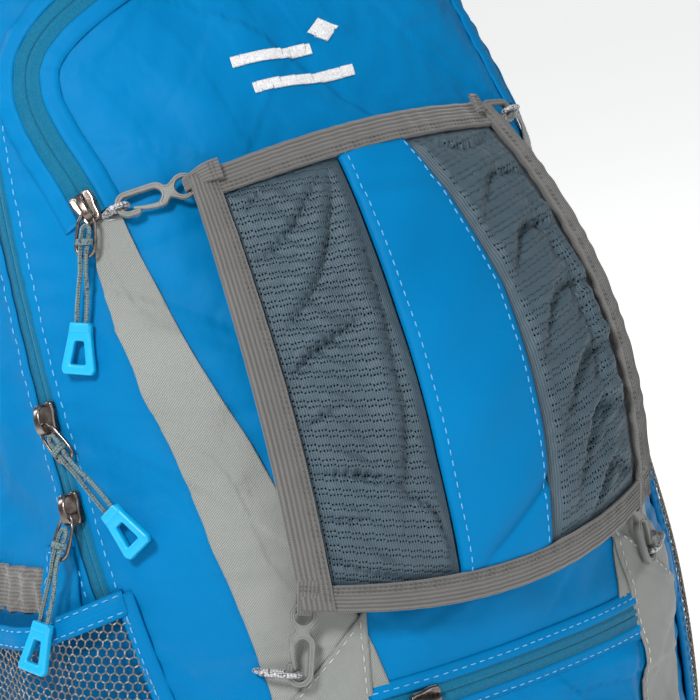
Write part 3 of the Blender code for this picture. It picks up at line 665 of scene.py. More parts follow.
def knit(name, slot, bright, deep):
    """Holder mesh: fine wales with a satin yarn."""
    material, tree, surface = shader(name, 0.55, slot=slot, Sheen_Weight=0.10, Sheen_Roughness=0.35)
    uv = split(tree, place(tree, "UV"))
    wale = stripes(tree, uv[0], 0.00095)
    course = stripes(tree, calc(tree, "MULTIPLY_ADD", uv[0], 0.5, uv[1]), 0.0008)
    rows = calc(tree, "MULTIPLY_ADD", course, 0.4, 0.6)
    yarn = calc(tree, "MULTIPLY", calc(tree, "POWER", wale, 0.6), rows)
    cloud = noise(tree, place(tree), 26.0, 3.0)
    paint(tree, surface, weighed(tree, yarn, 0.7, cloud, 0.4), ((0.12, deep), (0.9, bright)))
    bump(tree, surface, ((yarn, 0.14),))
    return material


def elastic(name, slot, bright, deep, across=0.00150, along=0.00095):
    """Ribbed elastic or webbing: cords along its length, each with slanted yarns."""
    material, tree, surface = shader(name, 0.8, slot=slot, Sheen_Weight=0.25)
    uv = split(tree, place(tree, "UV"))
    rib = stripes(tree, uv[0], across)
    lean = calc(tree, "MULTIPLY", calc(tree, "PINGPONG", uv[0], across), 0.9)
    yarn = stripes(tree, calc(tree, "ADD", uv[1], lean), along)
    weave = weighed(tree, rib, 0.55, yarn, 0.45)
    dust = noise(tree, place(tree), 60.0, 3.0)
    paint(tree, surface, weighed(tree, weave, 0.8, dust, 0.25), ((0.1, deep), (0.9, bright)))
    bump(tree, surface, ((weave, 0.28),))
    return material


def tape_cloth(name, slot, bright, deep):
    """Zip tape: a close weave flecked with lighter yarns."""
    material, tree, surface = shader(name, 0.66, slot=slot, Sheen_Weight=0.15, Specular_IOR_Level=0.10)
    uv = split(tree, place(tree, "UV"))
    weave = checks(tree, uv, 0.0009, 0.0007)
    fleck = noise(tree, place(tree), 900.0, 2.0)
    paint(tree, surface, weighed(tree, fleck, 0.5, weave, 0.5), ((0.2, deep), (0.7, bright)))
    bump(tree, surface, ((weave, 0.10), (fleck, 0.06)))
    return material


def moulded(name, slot, bright, deep, roughness, grain, **sockets):
    """Moulded plastic or rubber with a faint mottle and surface grain."""
    material, tree, surface = shader(name, roughness, slot=slot, **sockets)
    where = place(tree)
    paint(tree, surface, noise(tree, where, 120.0, 3.0), ((0.3, deep), (0.7, bright)))
    polish(tree, surface, noise(tree, where, 300.0, 2.0), roughness - 0.06, roughness + 0.08)
    bump(tree, surface, ((noise(tree, where, 1400.0, 2.0), grain),))
    return material


def plated(name, slot, bright, deep):
    """Gunmetal plating with fine scratches and darker worn patches."""
    material, tree, surface = shader(name, 0.28, 1.0, slot=slot)
    where = place(tree)
    worn = noise(tree, where, 220.0, 4.0)
    stretched = node(tree, "ShaderNodeMapping", where)
    stretched.inputs["Scale"].default_value = (1.0, 1.0, 0.15)
    scratch = noise(tree, stretched.outputs[0], 2600.0, 2.0)
    paint(tree, surface, worn, ((0.35, deep), (0.65, bright)))
    polish(tree, surface, scratch, 0.16, 0.40)
    bump(tree, surface, ((scratch, 0.004),))
    return material


def braid(name, slot, colours, pitch, gloss=0.55, flecks=0.5):
    """Braided cord: diamonds that spiral both ways round it; the second colour is the flecks."""
    base, fleck, deep = colours
    material, tree, surface = shader(name, gloss, slot=slot, Sheen_Weight=0.2)
    uv = split(tree, place(tree, "UV"))
    turn = calc(tree, "MULTIPLY", uv[0], 4 * TAU)
    run = calc(tree, "MULTIPLY", uv[1], TAU / pitch)
    left = calc(tree, "SINE", calc(tree, "ADD", turn, run))
    right = calc(tree, "SINE", calc(tree, "SUBTRACT", turn, run))
    diamond = calc(tree, "MULTIPLY_ADD", calc(tree, "MULTIPLY", left, right), 0.5, 0.5)
    choose = calc(tree, "GREATER_THAN", noise(tree, place(tree), 900.0, 1.0), flecks)
    plain = ramp(tree, diamond, ((0.15, deep), (0.6, base)))
    tree.links.new(blend_colours(tree, choose, plain, fleck), surface.inputs["Base Color"])
    bump(tree, surface, ((diamond, 0.22),))
    return material


def thread(name, colour):
    """Sewing thread with a faint twist."""
    material, tree, surface = shader(name, 0.5, Sheen_Weight=0.3)
    twist = noise(tree, place(tree), 1800.0, 1.0)
    dark = tuple(channel * 0.6 for channel in colour)
    paint(tree, surface, twist, ((0.3, dark), (0.6, colour)))
    bump(tree, surface, ((twist, 0.05),))
    return material


def air_mesh(name, slot, bright, deep):
    """Spacer mesh over foam: rounded holes in staggered rows."""
    pitch = 0.0042
    material, tree, surface = shader(name, 0.85, slot=slot, Sheen_Weight=0.3)
    uv = [split(tree, place(tree))[axis] for axis in (0, 2)]
    one, other = (checks(tree, uv, pitch, pitch * 0.8, shift) for shift in (0.0, math.pi))
    hole = calc(tree, "MAXIMUM", one, other)
    solid = calc(tree, "SUBTRACT", 1.0, calc(tree, "SMOOTH_MIN", hole, 0.75, 0.2))
    yarn = noise(tree, place(tree), 500.0, 2.0)
    paint(tree, surface, weighed(tree, yarn, 0.35, solid, 0.8), ((0.3, deep), (0.9, bright)))
    bump(tree, surface, ((solid, 0.8), (yarn, 0.1)))
    return material


FABRIC = woven_nylon("blue_nylon", "bag_fabric", (0.0, 0.222, 0.535), (0.0, 0.172, 0.425))
# Darker copy of the blue cloth for the bag's side inside the side pockets: painted shade, standing for the
# shadow behind the net.
POCKET_SHADE = woven_nylon("blue_painted_pocket_shade", "bag_fabric", (0.0, 0.13, 0.32), (0.0, 0.09, 0.24))
BASE_CLOTH = woven_nylon("base_cloth", "bag_fabric", (0.0, 0.16, 0.40), (0.0, 0.12, 0.31), 0.0009)
GREY = twill("grey_twill", "bag_fabric", (0.365, 0.385, 0.36), (0.155, 0.166, 0.155), 0.0009)
KNIT = knit("holder_knit", "holder_mesh", (0.066, 0.122, 0.160), (0.012, 0.028, 0.042))
# Near-black cloth under the holder's mesh: painted shade, so that the mesh's holes look dark.
HOLDER_SHADE = woven_nylon("holder_backing", "holder_mesh", (0.010, 0.026, 0.046), (0.006, 0.016, 0.030))
ELASTIC = elastic("grey_elastic", "elastic", (0.19, 0.185, 0.175), (0.058, 0.056, 0.053))
TAPE = tape_cloth("zip_tape_cloth", "zip_tape", (0.0, 0.21, 0.36), (0.0, 0.12, 0.24))
METAL = plated("gunmetal", "zip_metal", (0.34, 0.29, 0.26), (0.16, 0.135, 0.12))
PULL_CORD_COLOURS = ((0.16, 0.27, 0.29), (0.02, 0.03, 0.035), (0.05, 0.09, 0.10))
PULL_CORD = braid("pull_cord_braid", "pull_cord", PULL_CORD_COLOURS, pitch=0.0022, flecks=0.62)
RUBBER = moulded("cyan_rubber", "pull_tab", (0.0, 0.47, 0.86), (0.0, 0.43, 0.80), 0.36, 0.012,
                 Subsurface_Weight=0.12, Subsurface_Scale=0.002)
HOOK = moulded("grey_acetal", "hook_plastic", (0.23, 0.235, 0.22), (0.19, 0.195, 0.185), 0.42, 0.02)
LOOP_CORD_COLOURS = ((0.62, 0.63, 0.64), (0.06, 0.06, 0.07), (0.22, 0.22, 0.24))
LOOP_CORD = braid("reflective_braid", "loop_cord", LOOP_CORD_COLOURS, pitch=0.0026, gloss=0.35, flecks=0.56)
NET_COLOURS = ((0.17, 0.16, 0.145), (0.33, 0.31, 0.28), (0.04, 0.038, 0.036))
NET = braid("net_yarn", "side_net", NET_COLOURS, pitch=0.0012, gloss=0.8, flecks=0.60)
WEBBING = elastic("grey_webbing", "elastic", (0.20, 0.19, 0.175), (0.06, 0.057, 0.052), 0.0016, 0.0012)
STRAP = elastic("black_webbing", "webbing", (0.045, 0.047, 0.052), (0.010, 0.011, 0.013), 0.0018, 0.0014)
AIR = air_mesh("pad_air_mesh", "pad_mesh", (0.055, 0.058, 0.066), (0.004, 0.004, 0.005))
BUCKLE = moulded("black_acetal", "buckle_plastic", (0.028, 0.029, 0.031), (0.018, 0.019, 0.020), 0.42, 0.025)
BLUE_THREAD = thread("light_blue_thread", (0.10, 0.50, 0.92))
GREY_THREAD = thread("grey_thread", (0.62, 0.62, 0.58))
DARK_THREAD = thread("dark_thread", (0.055, 0.055, 0.05))
WHITE_THREAD = thread("white_thread", (0.86, 0.87, 0.88))


# ---------------------------------------------------------------- camera, light and floor

# The photograph's view, in degrees: round to the wearer's left, down, and rolled.
VIEW_TURN = 35
VIEW_TIP = 8
VIEW_ROLL = 11
VIEW_MIDDLE = (0, -0.110, 0.240)
VIEW_SHIFT_RIGHT = -0.0235
VIEW_SHIFT_UP = 0.0110
VIEW_DISTANCE = 1.4
LENS_MM = 171.4
SENSOR_MM = 36


def camera():
    turn, tip, roll = (math.radians(angle) for angle in (VIEW_TURN, VIEW_TIP, VIEW_ROLL))
    ahead = Vector((math.sin(turn) * math.cos(tip), math.cos(turn) * math.cos(tip), -math.sin(tip)))
    right = Vector((math.cos(turn), -math.sin(turn), 0))
    up = right.cross(ahead)
    aim = Vector(VIEW_MIDDLE) + right * VIEW_SHIFT_RIGHT + up * VIEW_SHIFT_UP
    data = bpy.data.cameras.new("camera")
    data.lens = LENS_MM
    data.sensor_width = SENSOR_MM
    data.clip_end = 300
    obj = bpy.data.objects.new("camera", data)
    bpy.context.scene.collection.objects.link(obj)
    rolled_right = right * math.cos(roll) - up * math.sin(roll)
    rolled_up = right * math.sin(roll) + up * math.cos(roll)
    matrix = Matrix((rolled_right, rolled_up, -ahead)).transposed().to_4x4()
    matrix.translation = aim - ahead * VIEW_DISTANCE
    obj.matrix_world = matrix
    bpy.context.scene.camera = obj


# Disc lamps: place, size and power. They all face one point.
LAMPS = {
    "key": ((-1.45, -1.05, 1.55), 0.5, 47),
    "fill": ((0.4, -2.0, 0.7), 1.2, 7.0),
    "rim": ((-1.2, 1.6, 1.5), 1.0, 22),
    "top": ((0.1, -0.1, 2.3), 1.2, 9),
}
LAMPS_FACE = (0, -0.05, 0.26)
SKY_COLOUR = (0.96, 0.98, 1.0, 1)
SKY_STRENGTH = 0.26
FLOOR_GLOW = 0.68
FLOOR_HALF = 90.0


def lamp(name, at, size, power):
    data = bpy.data.lights.new(name, "AREA")
    data.shape = "DISK"
    data.size = size
    data.energy = power
    obj = bpy.data.objects.new(name, data)
    bpy.context.scene.collection.objects.link(obj)
    obj.location = at
    obj.rotation_euler = (Vector(LAMPS_FACE) - Vector(at)).to_track_quat("-Z", "Y").to_euler()


def studio():
    scene = bpy.context.scene
    scene.view_settings.view_transform = "Standard"
    world = bpy.data.worlds.new("studio")
    world.use_nodes = True
    scene.world = world
    sky = world.node_tree.nodes["Background"].inputs
    sky["Color"].default_value = SKY_COLOUR
    sky["Strength"].default_value = SKY_STRENGTH
    for name, (at, size, power) in LAMPS.items():
        lamp(name, at, size, power)
    glow = {"Emission_Color": (1, 1, 1, 1), "Emission_Strength": FLOOR_GLOW}
    material, tree, surface = shader("studio_floor", 0.9, **glow)
    mottle = noise(tree, place(tree), 3.0, 2.0)
    paint(tree, surface, mottle, ((0.3, (0.93, 0.93, 0.93)), (0.7, (0.96, 0.96, 0.96))))
    mesh = bpy.data.meshes.new("floor")
    corners = [(x * FLOOR_HALF, y * FLOOR_HALF, 0) for x, y in ((-1, -1), (1, -1), (1, 1), (-1, 1))]
    mesh.from_pydata(corners, [], [(0, 1, 2, 3)])
    mesh.materials.append(material)
    floor = bpy.data.objects.new("floor", mesh)
    scene.collection.objects.link(floor)


# ---------------------------------------------------------------- bag shells

LIP_GAP = 0.0042
FABRIC_THICKNESS = 0.0009
BASE_LIFT = 0.0006


def lip_gap(z):
    """Half the open width between the main zip's lips, closed below the zip's foot."""
    return 0.0001 + (LIP_GAP - 0.0001) * ease((z - MAIN_ZIP_FOOT + 0.012) / 0.010)


def lip_angle(z, side):
    """Angle round the bag of the main zip's front lip (side -1) or back lip (side 1) at height z."""
    return float(ring_angle(split_y(z) + side * lip_gap(z), z))


def shell_heights(step):
    """Heights of the shell's rows, a step apart along the bag's outline."""
    fine = np.linspace(BASE_TOP, BAG_HEIGHT, 4000)
    line = np.column_stack([profile(AHEAD, fine), profile(WIDE, fine), fine])
    run = lengths(line)
    return np.interp(np.linspace(0, run[-1], int(run[-1] / step)), run, fine)


def shell(name, side, columns, step):
    """Panel of the bag in front of the main zip (side -1) or behind it (side 1)."""
    rows = []
    for z in shell_heights(step):
        edge = lip_angle(z, side)
        low, high = (-edge, edge) if side < 0 else (edge, TAU - edge)
        rows.append(resample(ring_point(np.linspace(low, high, 400), z), count=columns))
    plain = np.array(rows)
    uv = grid_uv(plain)
    p = plain + bag_normal(plain) * relief(plain)[..., None]
    return grid(name, p, FABRIC, uv=uv, thickness=FABRIC_THICKNESS)


def shells():
    step, columns = ((0.0022, 190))
    front = shell("front_panel", -1, columns, step)
    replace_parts(front, "front_compartment")
    rear = shell("main_body", 1, int(columns * 1.2), step)
    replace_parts(rear, "main_compartment")


def base():
    """Bottom panel: it rises a little way up the bag all round and closes the floor."""
    angles = np.linspace(0, TAU, 160, endpoint=False)
    rows = [laid(ring_point(angles, z), BASE_LIFT) for z in np.linspace(BASE_TOP + 0.004, 0.0, 9)]
    rim = rows[-1]
    rim[:, 2] = BASE_LIFT
    centre = np.array((0, -0.03, BASE_LIFT))
    rows += [centre + (rim - centre) * share for share in (0.985, 0.9, 0.75, 0.5, 0.25, 0.04)]
    p = np.array(rows)
    faces = grid_faces(len(p), p.shape[1], close_columns=True, flip=True).tolist()
    last = (len(p) - 1) * p.shape[1]
    faces.append([last + k for k in range(p.shape[1])])
    obj = make_mesh("base_panel", p.reshape(-1, 3), faces, BASE_CLOTH, uv=grid_uv(p).reshape(-1, 2))
    thicken(obj, FABRIC_THICKNESS)


# ---------------------------------------------------------------- grey side bands

# Edges of the grey bands: height, then distance from the middle, in millimetres.
BAND_OUTER = (
    (327, 112), (309, 116.5), (290, 117.5), (268, 117), (251, 117), (234, 115), (186, 112), (144, 108),
    (130, 106), (95, 104), (19, 102),
)
BAND_INNER = (
    (329, 103.5), (313, 103.5), (296, 102), (274, 99.5), (253, 96), (231, 91), (205, 86), (186, 81),
    (155, 70),
)
PANEL_INNER = ((156, 66), (141, 68), (117, 70), (80, 72), (19, 74))
BAND_SEAM = ((155, 66), (131, 93), (120, 105))
BAND_FOLDS_FROM = 0.152
BAND_FOLDS = ((23, 100, 0.4, 0.42), (14, 78, 2.0, 0.26), (37, 60, 1.1, 0.35))
BAND_FOOT = 0.120
BAND_TOP = 0.3285
PANEL_TOP = 0.156
BAND_THICKNESS = 0.0007
BAND_LIFT = 0.0010
PANEL_LIFT = 0.0019
SEAM_LIFT = 0.0022


def patch(name, sign, heights, inner, outer, lift, columns):
    """Piece of grey cloth on the bag between two edges given by height."""
    near, far = curve_at(inner, heights), curve_at(outer, heights)
    share = np.linspace(0, 1, columns)
    x = sign * (near[:, None] + (far - near)[:, None] * share)
    plain = front_point(x, np.broadcast_to(heights[:, None], x.shape))
    folded = ease((plain[..., 2] - BAND_FOLDS_FROM) / 0.020)
    p = laid(plain, lift + (0.0011 + waves(x, plain[..., 2], BAND_FOLDS)) * folded)
    return grid(name, p, GREY, uv=grid_uv(plain), thickness=BAND_THICKNESS)


def edge_line(sign, points, low, high, count):
    """Line on the bag's front along an edge given by height."""
    z = np.linspace(low, high, count)
    return front_point(sign * curve_at(points, z), z)


def grey_bands():
    for side, sign in SIDES:
        inner = BAND_INNER + ((BAND_FOOT / MM, 62),)
        heights = np.linspace(BAND_FOOT, BAND_TOP, 120)
        patch("grey_band_" + side, sign, heights, inner, BAND_OUTER, BAND_LIFT, 40)
        heights = np.linspace(BASE_TOP, PANEL_TOP, 80)
        lower = patch("grey_panel_" + side, sign, heights, PANEL_INNER, BAND_OUTER, PANEL_LIFT, 30)
        shape_panel_top(lower, sign)
        hem = edge_line(sign, [(z, x + 2.6) for z, x in PANEL_INNER], BASE_TOP, 0.152, 160)[::-1]
        stitches("panel_stitch_" + side, hem, GREY_THREAD, lift=SEAM_LIFT)
        seam = edge_line(sign, [(z - 3.0, x + 1.0) for z, x in BAND_SEAM], 0.119, 0.151, 40)
        stitches("band_seam_stitch_" + side, seam, GREY_THREAD, lift=SEAM_LIFT)
        top = front_point(sign * np.linspace(0.1045, 0.1105, 8), np.full(8, 0.3262))
        stitches("band_top_stitch_" + side, top, GREY_THREAD, lift=0.0026)


def shape_panel_top(obj, sign):
    """The panel's top edge runs down outwards along the band's slanted seam."""
    mesh = obj.data
    co = np.zeros(len(mesh.vertices) * 3)
    mesh.vertices.foreach_get("co", co)
    p = co.reshape(-1, 3)
    x = np.abs(p[:, 0])
    seam = [(across, height) for height, across in BAND_SEAM]
    top = curve_at([(60, 157)] + seam + [(125, 108)], x)
    share = np.clip((p[:, 2] - BASE_TOP) / (PANEL_TOP - BASE_TOP), 0, 1)
    z = BASE_TOP + (top - BASE_TOP) * share
    moved = laid(front_point(sign * x, z), PANEL_LIFT)
    mesh.vertices.foreach_set("co", moved.ravel())
    mesh.update()


# ---------------------------------------------------------------- zips

def coil_ripple(across, along):
    """Cross ridges that a coil presses through its tape, strongest beside the middle."""
    near = math.exp(-((abs(across) - 0.0015) / 0.0011) ** 2)
    return 0.00016 * near * np.sin(TAU * along / 0.00125)


# Right half of a zip tape's section over its coil: across and up, in millimetres.
COIL_HALF = ((0.25, 0.15), (0.7, 0.45), (1.6, 0.55), (2.6, 0.35), (3.2, 0.05))
COIL_MIDDLE = (0, -0.55)
TAPE_TOP = 1.55
MAIN_TAPE_TOP = 1.45 - 2.9
LIP_SECTION = (
    (0.0, -0.6), (-0.1, 0.9), (0.5, 1.55), (1.5, 1.60), (3.2, 1.15), (5.5, 0.45), (8.0, -0.1), (8.0, -0.8),
    (1.0, -0.8),
)


def chain(name, line, half, top, node_name):
    """Zip tape with its coil on the inside: a groove down the middle with a ridge on each side."""
    right = COIL_HALF + ((half * 0.75, 0.05), (half, 0.0), (half, -0.9))
    section = [(-across, height) for across, height in reversed(right)] + [COIL_MIDDLE, *right]
    section = [(across, height + top) for across, height in section]
    obj = strip(name, line, section, TAPE, step=0.00042, ripple=coil_ripple)
    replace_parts(obj, node_name)


def lip_ripple(across, along):
    """Slow waves along the cloth of a zip's lip, the same all the way across it."""
    return 0.00022 * np.sin(TAU * along / 0.016 + 2 * np.sin(TAU * along / 0.071))


def zips():
    main_zip = main_zip_line()
    chain("main_zip_tape", main_zip, 6.5, MAIN_TAPE_TOP, "main_zip_chain")
    chain("front_zip_tape", FRONT_ZIP, 7.0, TAPE_TOP, "front_zip_chain")
    chain("lower_zip_tape", LOWER_ZIP, 6.2, TAPE_TOP, "lower_zip_chain")
    for name, sign, start in (("outer", -1, 5.6), ("inner", 1, 6.3)):
        front_lip = [(sign * (start + across), 0.9 + height) for across, height in LIP_SECTION]
        lower_lip = [(sign * (4.6 + across * 0.8), 0.9 + height) for across, height in LIP_SECTION]
        strip("front_zip_lip_" + name, FRONT_ZIP, front_lip, FABRIC, ripple=lip_ripple)
        strip("lower_zip_lip_" + name, LOWER_ZIP, lower_lip, FABRIC)
        stitches("lower_zip_stitch_" + name, beside(LOWER_ZIP, sign * 0.0078), BLUE_THREAD, lift=0.0019)
    stitches("main_zip_stitch_front", beside(main_zip, 0.0082), BLUE_THREAD, lift=0.0002)
    stitches("main_zip_stitch_back", beside(main_zip, -0.0082), BLUE_THREAD, lift=0.0002)


# ---------------------------------------------------------------- holder

def holder_point(across, down, lift=0.0):
    """Point of the holder's inner face: across runs -1 to 1, down runs 0 at the top to 1 at the foot."""
    across, down = np.broadcast_arrays(np.asarray(across, float), np.asarray(down, float))
    arch = 1 - across ** 2
    top = HOLDER_TOP + HOLDER_CROWN * arch
    foot = HOLDER_FOOT - HOLDER_SAG * arch
    half = HOLDER_HALF_TOP + (HOLDER_HALF_FOOT - HOLDER_HALF_TOP) * np.clip(down, 0, 1) ** 0.8
    wave = np.sin(math.pi * np.clip(down, 0, 1))
    pull_in = HOLDER_RIGHT_TOP_PULL * np.clip(1 - down, 0, 1) ** 4
    pull_in += HOLDER_RIGHT_FOOT_PULL * np.clip(down, 0, 1) ** 6
    half = half + np.where(across > 0, HOLDER_RIGHT_BOW * wave - pull_in, 0)
    stand = HOLDER_LIFT + HOLDER_BULGE * wave + HOLDER_BELLY * wave * arch
    p = front_point(across * half, top + (foot - top) * down)
    return p + bag_normal(p) * (stand + lift)[..., None]


# Edges of the plain strip down the holder's middle: distance down, then distance across.
STRIP_LEFT = ((0, -230), (200, -270), (400, -300), (700, -325), (1000, -315))
STRIP_RIGHT = ((0, 190), (200, 280), (400, 320), (700, 275), (1000, 205))

# Creases of the holder's mesh panels: places (share of the way from the strip to the binding,
# share of the way down), then half width and depth in millimetres.
CREASES_LEFT = (
    (((0.12, 0.07), (0.25, 0.17), (0.48, 0.29), (0.84, 0.40)), 3.2, 2.4),
    (((0.21, 0.08), (0.53, 0.17), (0.86, 0.23)), 2.4, 1.7),
    (((0.45, 0.04), (0.70, 0.09), (0.90, 0.12)), 2.0, 1.3),
    (((0.27, 0.39), (0.67, 0.44), (0.92, 0.52)), 2.6, 2.7),
    (((0.58, 0.56), (0.76, 0.58), (0.92, 0.62)), 2.0, 1.7),
    (((0.34, 0.73), (0.63, 0.70), (0.90, 0.70)), 2.4, 2.2),
    (((0.16, 0.43), (0.18, 0.61), (0.34, 0.80)), 4.2, 2.8),
    (((0.40, 0.93), (0.62, 0.92), (0.92, 0.88)), 2.4, 2.0),
    (((0.25, 0.77), (0.12, 0.81), (0.06, 0.90)), 2.4, 2.2),
    (((0.05, 0.16), (0.10, 0.34), (0.14, 0.54)), 4.0, 2.4),
    (((0.55, 0.80), (0.72, 0.80), (0.93, 0.79)), 2.0, 1.5),
)
CREASES_RIGHT = (
    (((0.15, 0.07), (0.45, 0.10), (0.88, 0.07)), 2.6, 1.9),
    (((0.20, 0.24), (0.50, 0.17), (0.90, 0.19)), 3.0, 2.3),
    (((0.12, 0.40), (0.45, 0.30), (0.88, 0.32)), 3.4, 2.7),
    (((0.15, 0.56), (0.45, 0.45), (0.88, 0.46)), 3.0, 2.5),
    (((0.20, 0.71), (0.50, 0.60), (0.88, 0.61)), 3.0, 2.5),
    (((0.25, 0.86), (0.50, 0.72), (0.86, 0.76)), 3.0, 2.7),
    (((0.35, 0.95), (0.55, 0.85), (0.78, 0.90)), 2.4, 2.1),
    (((0.62, 0.22), (0.66, 0.50), (0.56, 0.80)), 4.0, 2.2),
)
CREASE_WIDTH = 0.72
CREASE_DEPTH = 1.25
PANEL_SPAN = 0.056
PANEL_TALL = 0.178


def crease_height(share, down, creases):
    """Valleys along curved lines, each with a soft ridge on its upper side, and fine wrinkles."""
    flat = np.stack([share * PANEL_SPAN, down * PANEL_TALL], -1)
    height = np.zeros(share.shape)
    for places, width, depth in creases:
        line = smooth([(x * PANEL_SPAN, y * PANEL_TALL, 0) for x, y in places], 0.0035)[:, :2]
        gap = flat[..., None, :] - line
        far = np.linalg.norm(gap, axis=-1)
        nearest = far.argmin(-1)
        run = unit(np.gradient(line, axis=0))[nearest]
        off = np.take_along_axis(gap, nearest[..., None, None], -2)[..., 0, :]
        side = np.sign(run[..., 0] * off[..., 1] - run[..., 1] * off[..., 0])
        reach = far.min(-1) * side / (CREASE_WIDTH * width * MM)
        taper = np.sin(math.pi * (nearest + 0.7) / (len(line) + 0.4)) ** 0.7
        ridge = 0.75 * np.exp(-((reach + 2.2) / 1.7) ** 2)
        valley = np.exp(-(reach / np.where(reach > 0, 1.5, 0.8)) ** 2)
        height += CREASE_DEPTH * depth * MM * taper * (ridge - valley)
    a, b = flat[..., 0], flat[..., 1]
    phase = TAU * (b + 0.35 * a) / 0.0092 + 2.2 * np.sin(TAU * a / 0.031)
    wrinkle = np.sin(phase + 1.7 * np.sin(TAU * b / 0.043))
    return height + 0.00040 * wrinkle


def knit_panel(name, strip_edge, outer, creases):
    """One gathered mesh panel, with rows of open holes knitted through it in pairs."""
    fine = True
    columns, rows = (100, 250) if fine else (60, 120)
    down = np.linspace(0.004, 0.996, rows)[:, None]
    inner = np.interp(down[:, 0], *edge_table(strip_edge))[:, None]
    share = np.linspace(0, 1, columns)[None, :]
    across = inner + (outer - inner) * share
    down = np.broadcast_to(down, across.shape)
    half, tall = 0.085, HOLDER_TOP - HOLDER_FOOT + 0.010
    from_binding = np.minimum((1 - np.abs(across)) * half, np.minimum(down, 1 - down) * tall)
    from_strip = np.abs(across - inner) * half
    border = ease((from_binding - 0.0080) / 0.010) * ease(from_strip / 0.007)
    plain = holder_point(across, down, np.full(across.shape, 0.0012))
    normal = bag_normal(front_point(plain[..., 0], plain[..., 2]))
    pleats = 0.0006 * np.sin(TAU * down * tall / 0.0068 + np.sin(TAU * down * 5))
    pleats *= np.exp(-from_binding / 0.008)
    swell = crease_height(np.abs((across - inner) / (outer - inner)), down, creases) + pleats + 0.0034
    p = plain + normal * (swell * border)[..., None]
    faces = grid_faces(rows, columns)
    j = np.arange(rows - 1)[:, None]
    i = np.arange(columns - 1)[None, :]
    course = (j + i // 7) % 8
    hole = (course == 0) | (course == 3)
    hole = hole & (i % 2 == 0) & (from_binding[:-1, :-1] > 0.0095) & (from_strip[:-1, :-1] > 0.004)
    if fine:
        faces = faces[~hole.reshape(-1)]
    row, column = rows // 2, columns // 2
    middle = p[row, column]
    facing = np.cross(p[row, column + 1] - middle, p[row + 1, column] - middle)
    if float(facing @ normal[row, column]) < 0:
        faces = faces[:, ::-1]
    obj = make_mesh(name, p.reshape(-1, 3), faces.tolist(), KNIT, uv=grid_uv(plain).reshape(-1, 2))
    thicken(obj, 0.00045)
    # A near-black sheet just under the mesh: painted shade seen through its holes, in place of the lit blue
    # bag behind them.
    dark_under_sheet = plain[::5, ::4] - normal[::5, ::4] * 0.0010
    grid(name + "_backing", dark_under_sheet, HOLDER_SHADE, uv=grid_uv(dark_under_sheet), thickness=0.0003)


def edge_table(points):
    table = np.array(points, float) * MM
    return table[:, 0], table[:, 1]


def middle_strip():
    """Plain blue strip down the holder's middle, a little crowned, with its edges turned under."""
    down = np.linspace(0.0, 1.0, 90)[:, None]
    left = np.interp(down[:, 0], *edge_table(STRIP_LEFT))[:, None]
    right = np.interp(down[:, 0], *edge_table(STRIP_RIGHT))[:, None]
    share = np.linspace(0, 1, 34)[None, :]
    across = left + (right - left) * share
    down = np.broadcast_to(down, across.shape)
    crown = 0.0022 * np.clip(4 * share * (1 - share), 0, 1) ** 0.6
    ripple = 0.0009 * np.sin(TAU * down / 0.21 + 4 * share) * np.sin(math.pi * share)
    fold = np.exp(-((down - 0.13 - 0.02 * share) / 0.012) ** 2)
    fold -= 0.6 * np.exp(-((down - 0.155 - 0.02 * share) / 0.02) ** 2)
    lean = np.exp(-((down - 0.97 + 0.16 * share) / 0.014) ** 2) * ease((share - 0.1) / 0.3)
    ripple = ripple - 0.0017 * fold * np.sin(math.pi * share) ** 0.5 - 0.0020 * lean
    edge = np.clip(np.minimum(share, 1 - share) / 0.06, 0, 1) ** 0.5
    plain = holder_point(across, down, np.full(across.shape, 0.0022))
    normal = bag_normal(front_point(plain[..., 0], plain[..., 2]))
    tucked = ease((np.minimum(down, 1 - down) - 0.034) / 0.032)
    p = plain + normal * ((crown + ripple + 0.0012 * edge) * tucked - 0.0012 * (1 - tucked))[..., None]
    strip_obj = grid("holder_strip", p, FABRIC, uv=grid_uv(plain), thickness=0.0012)
    for name, column in (("left", 0.085), ("right", 0.915)):
        index = column * (p.shape[1] - 1)
        low = int(index)
        line = p[:, low] * (1 - index + low) + p[:, low + 1] * (index - low) + normal[:, low] * 0.0002
        stitches("holder_strip_stitch_" + name, line, BLUE_THREAD, on_bag=False)
    return strip_obj


BINDING_RIBS = 7
BINDING_LIFT = 0.0030


def edge_run(edge, inset, count):
    """Line beside one edge of the holder, a distance in from it, as (across, down)."""
    side = inset / (HOLDER_HALF_TOP + HOLDER_HALF_FOOT) * 2
    end = inset / (HOLDER_TOP - HOLDER_FOOT)
    full = np.linspace(0, 1, count)
    if edge == "top":
        return 2 * full - 1, np.full(count, end)
    if edge == "foot":
        return 1 - 2 * full, np.full(count, 1 - end)
    if edge == "left":
        return np.full(count, side - 1), 1 - full
    return np.full(count, 1 - side), full


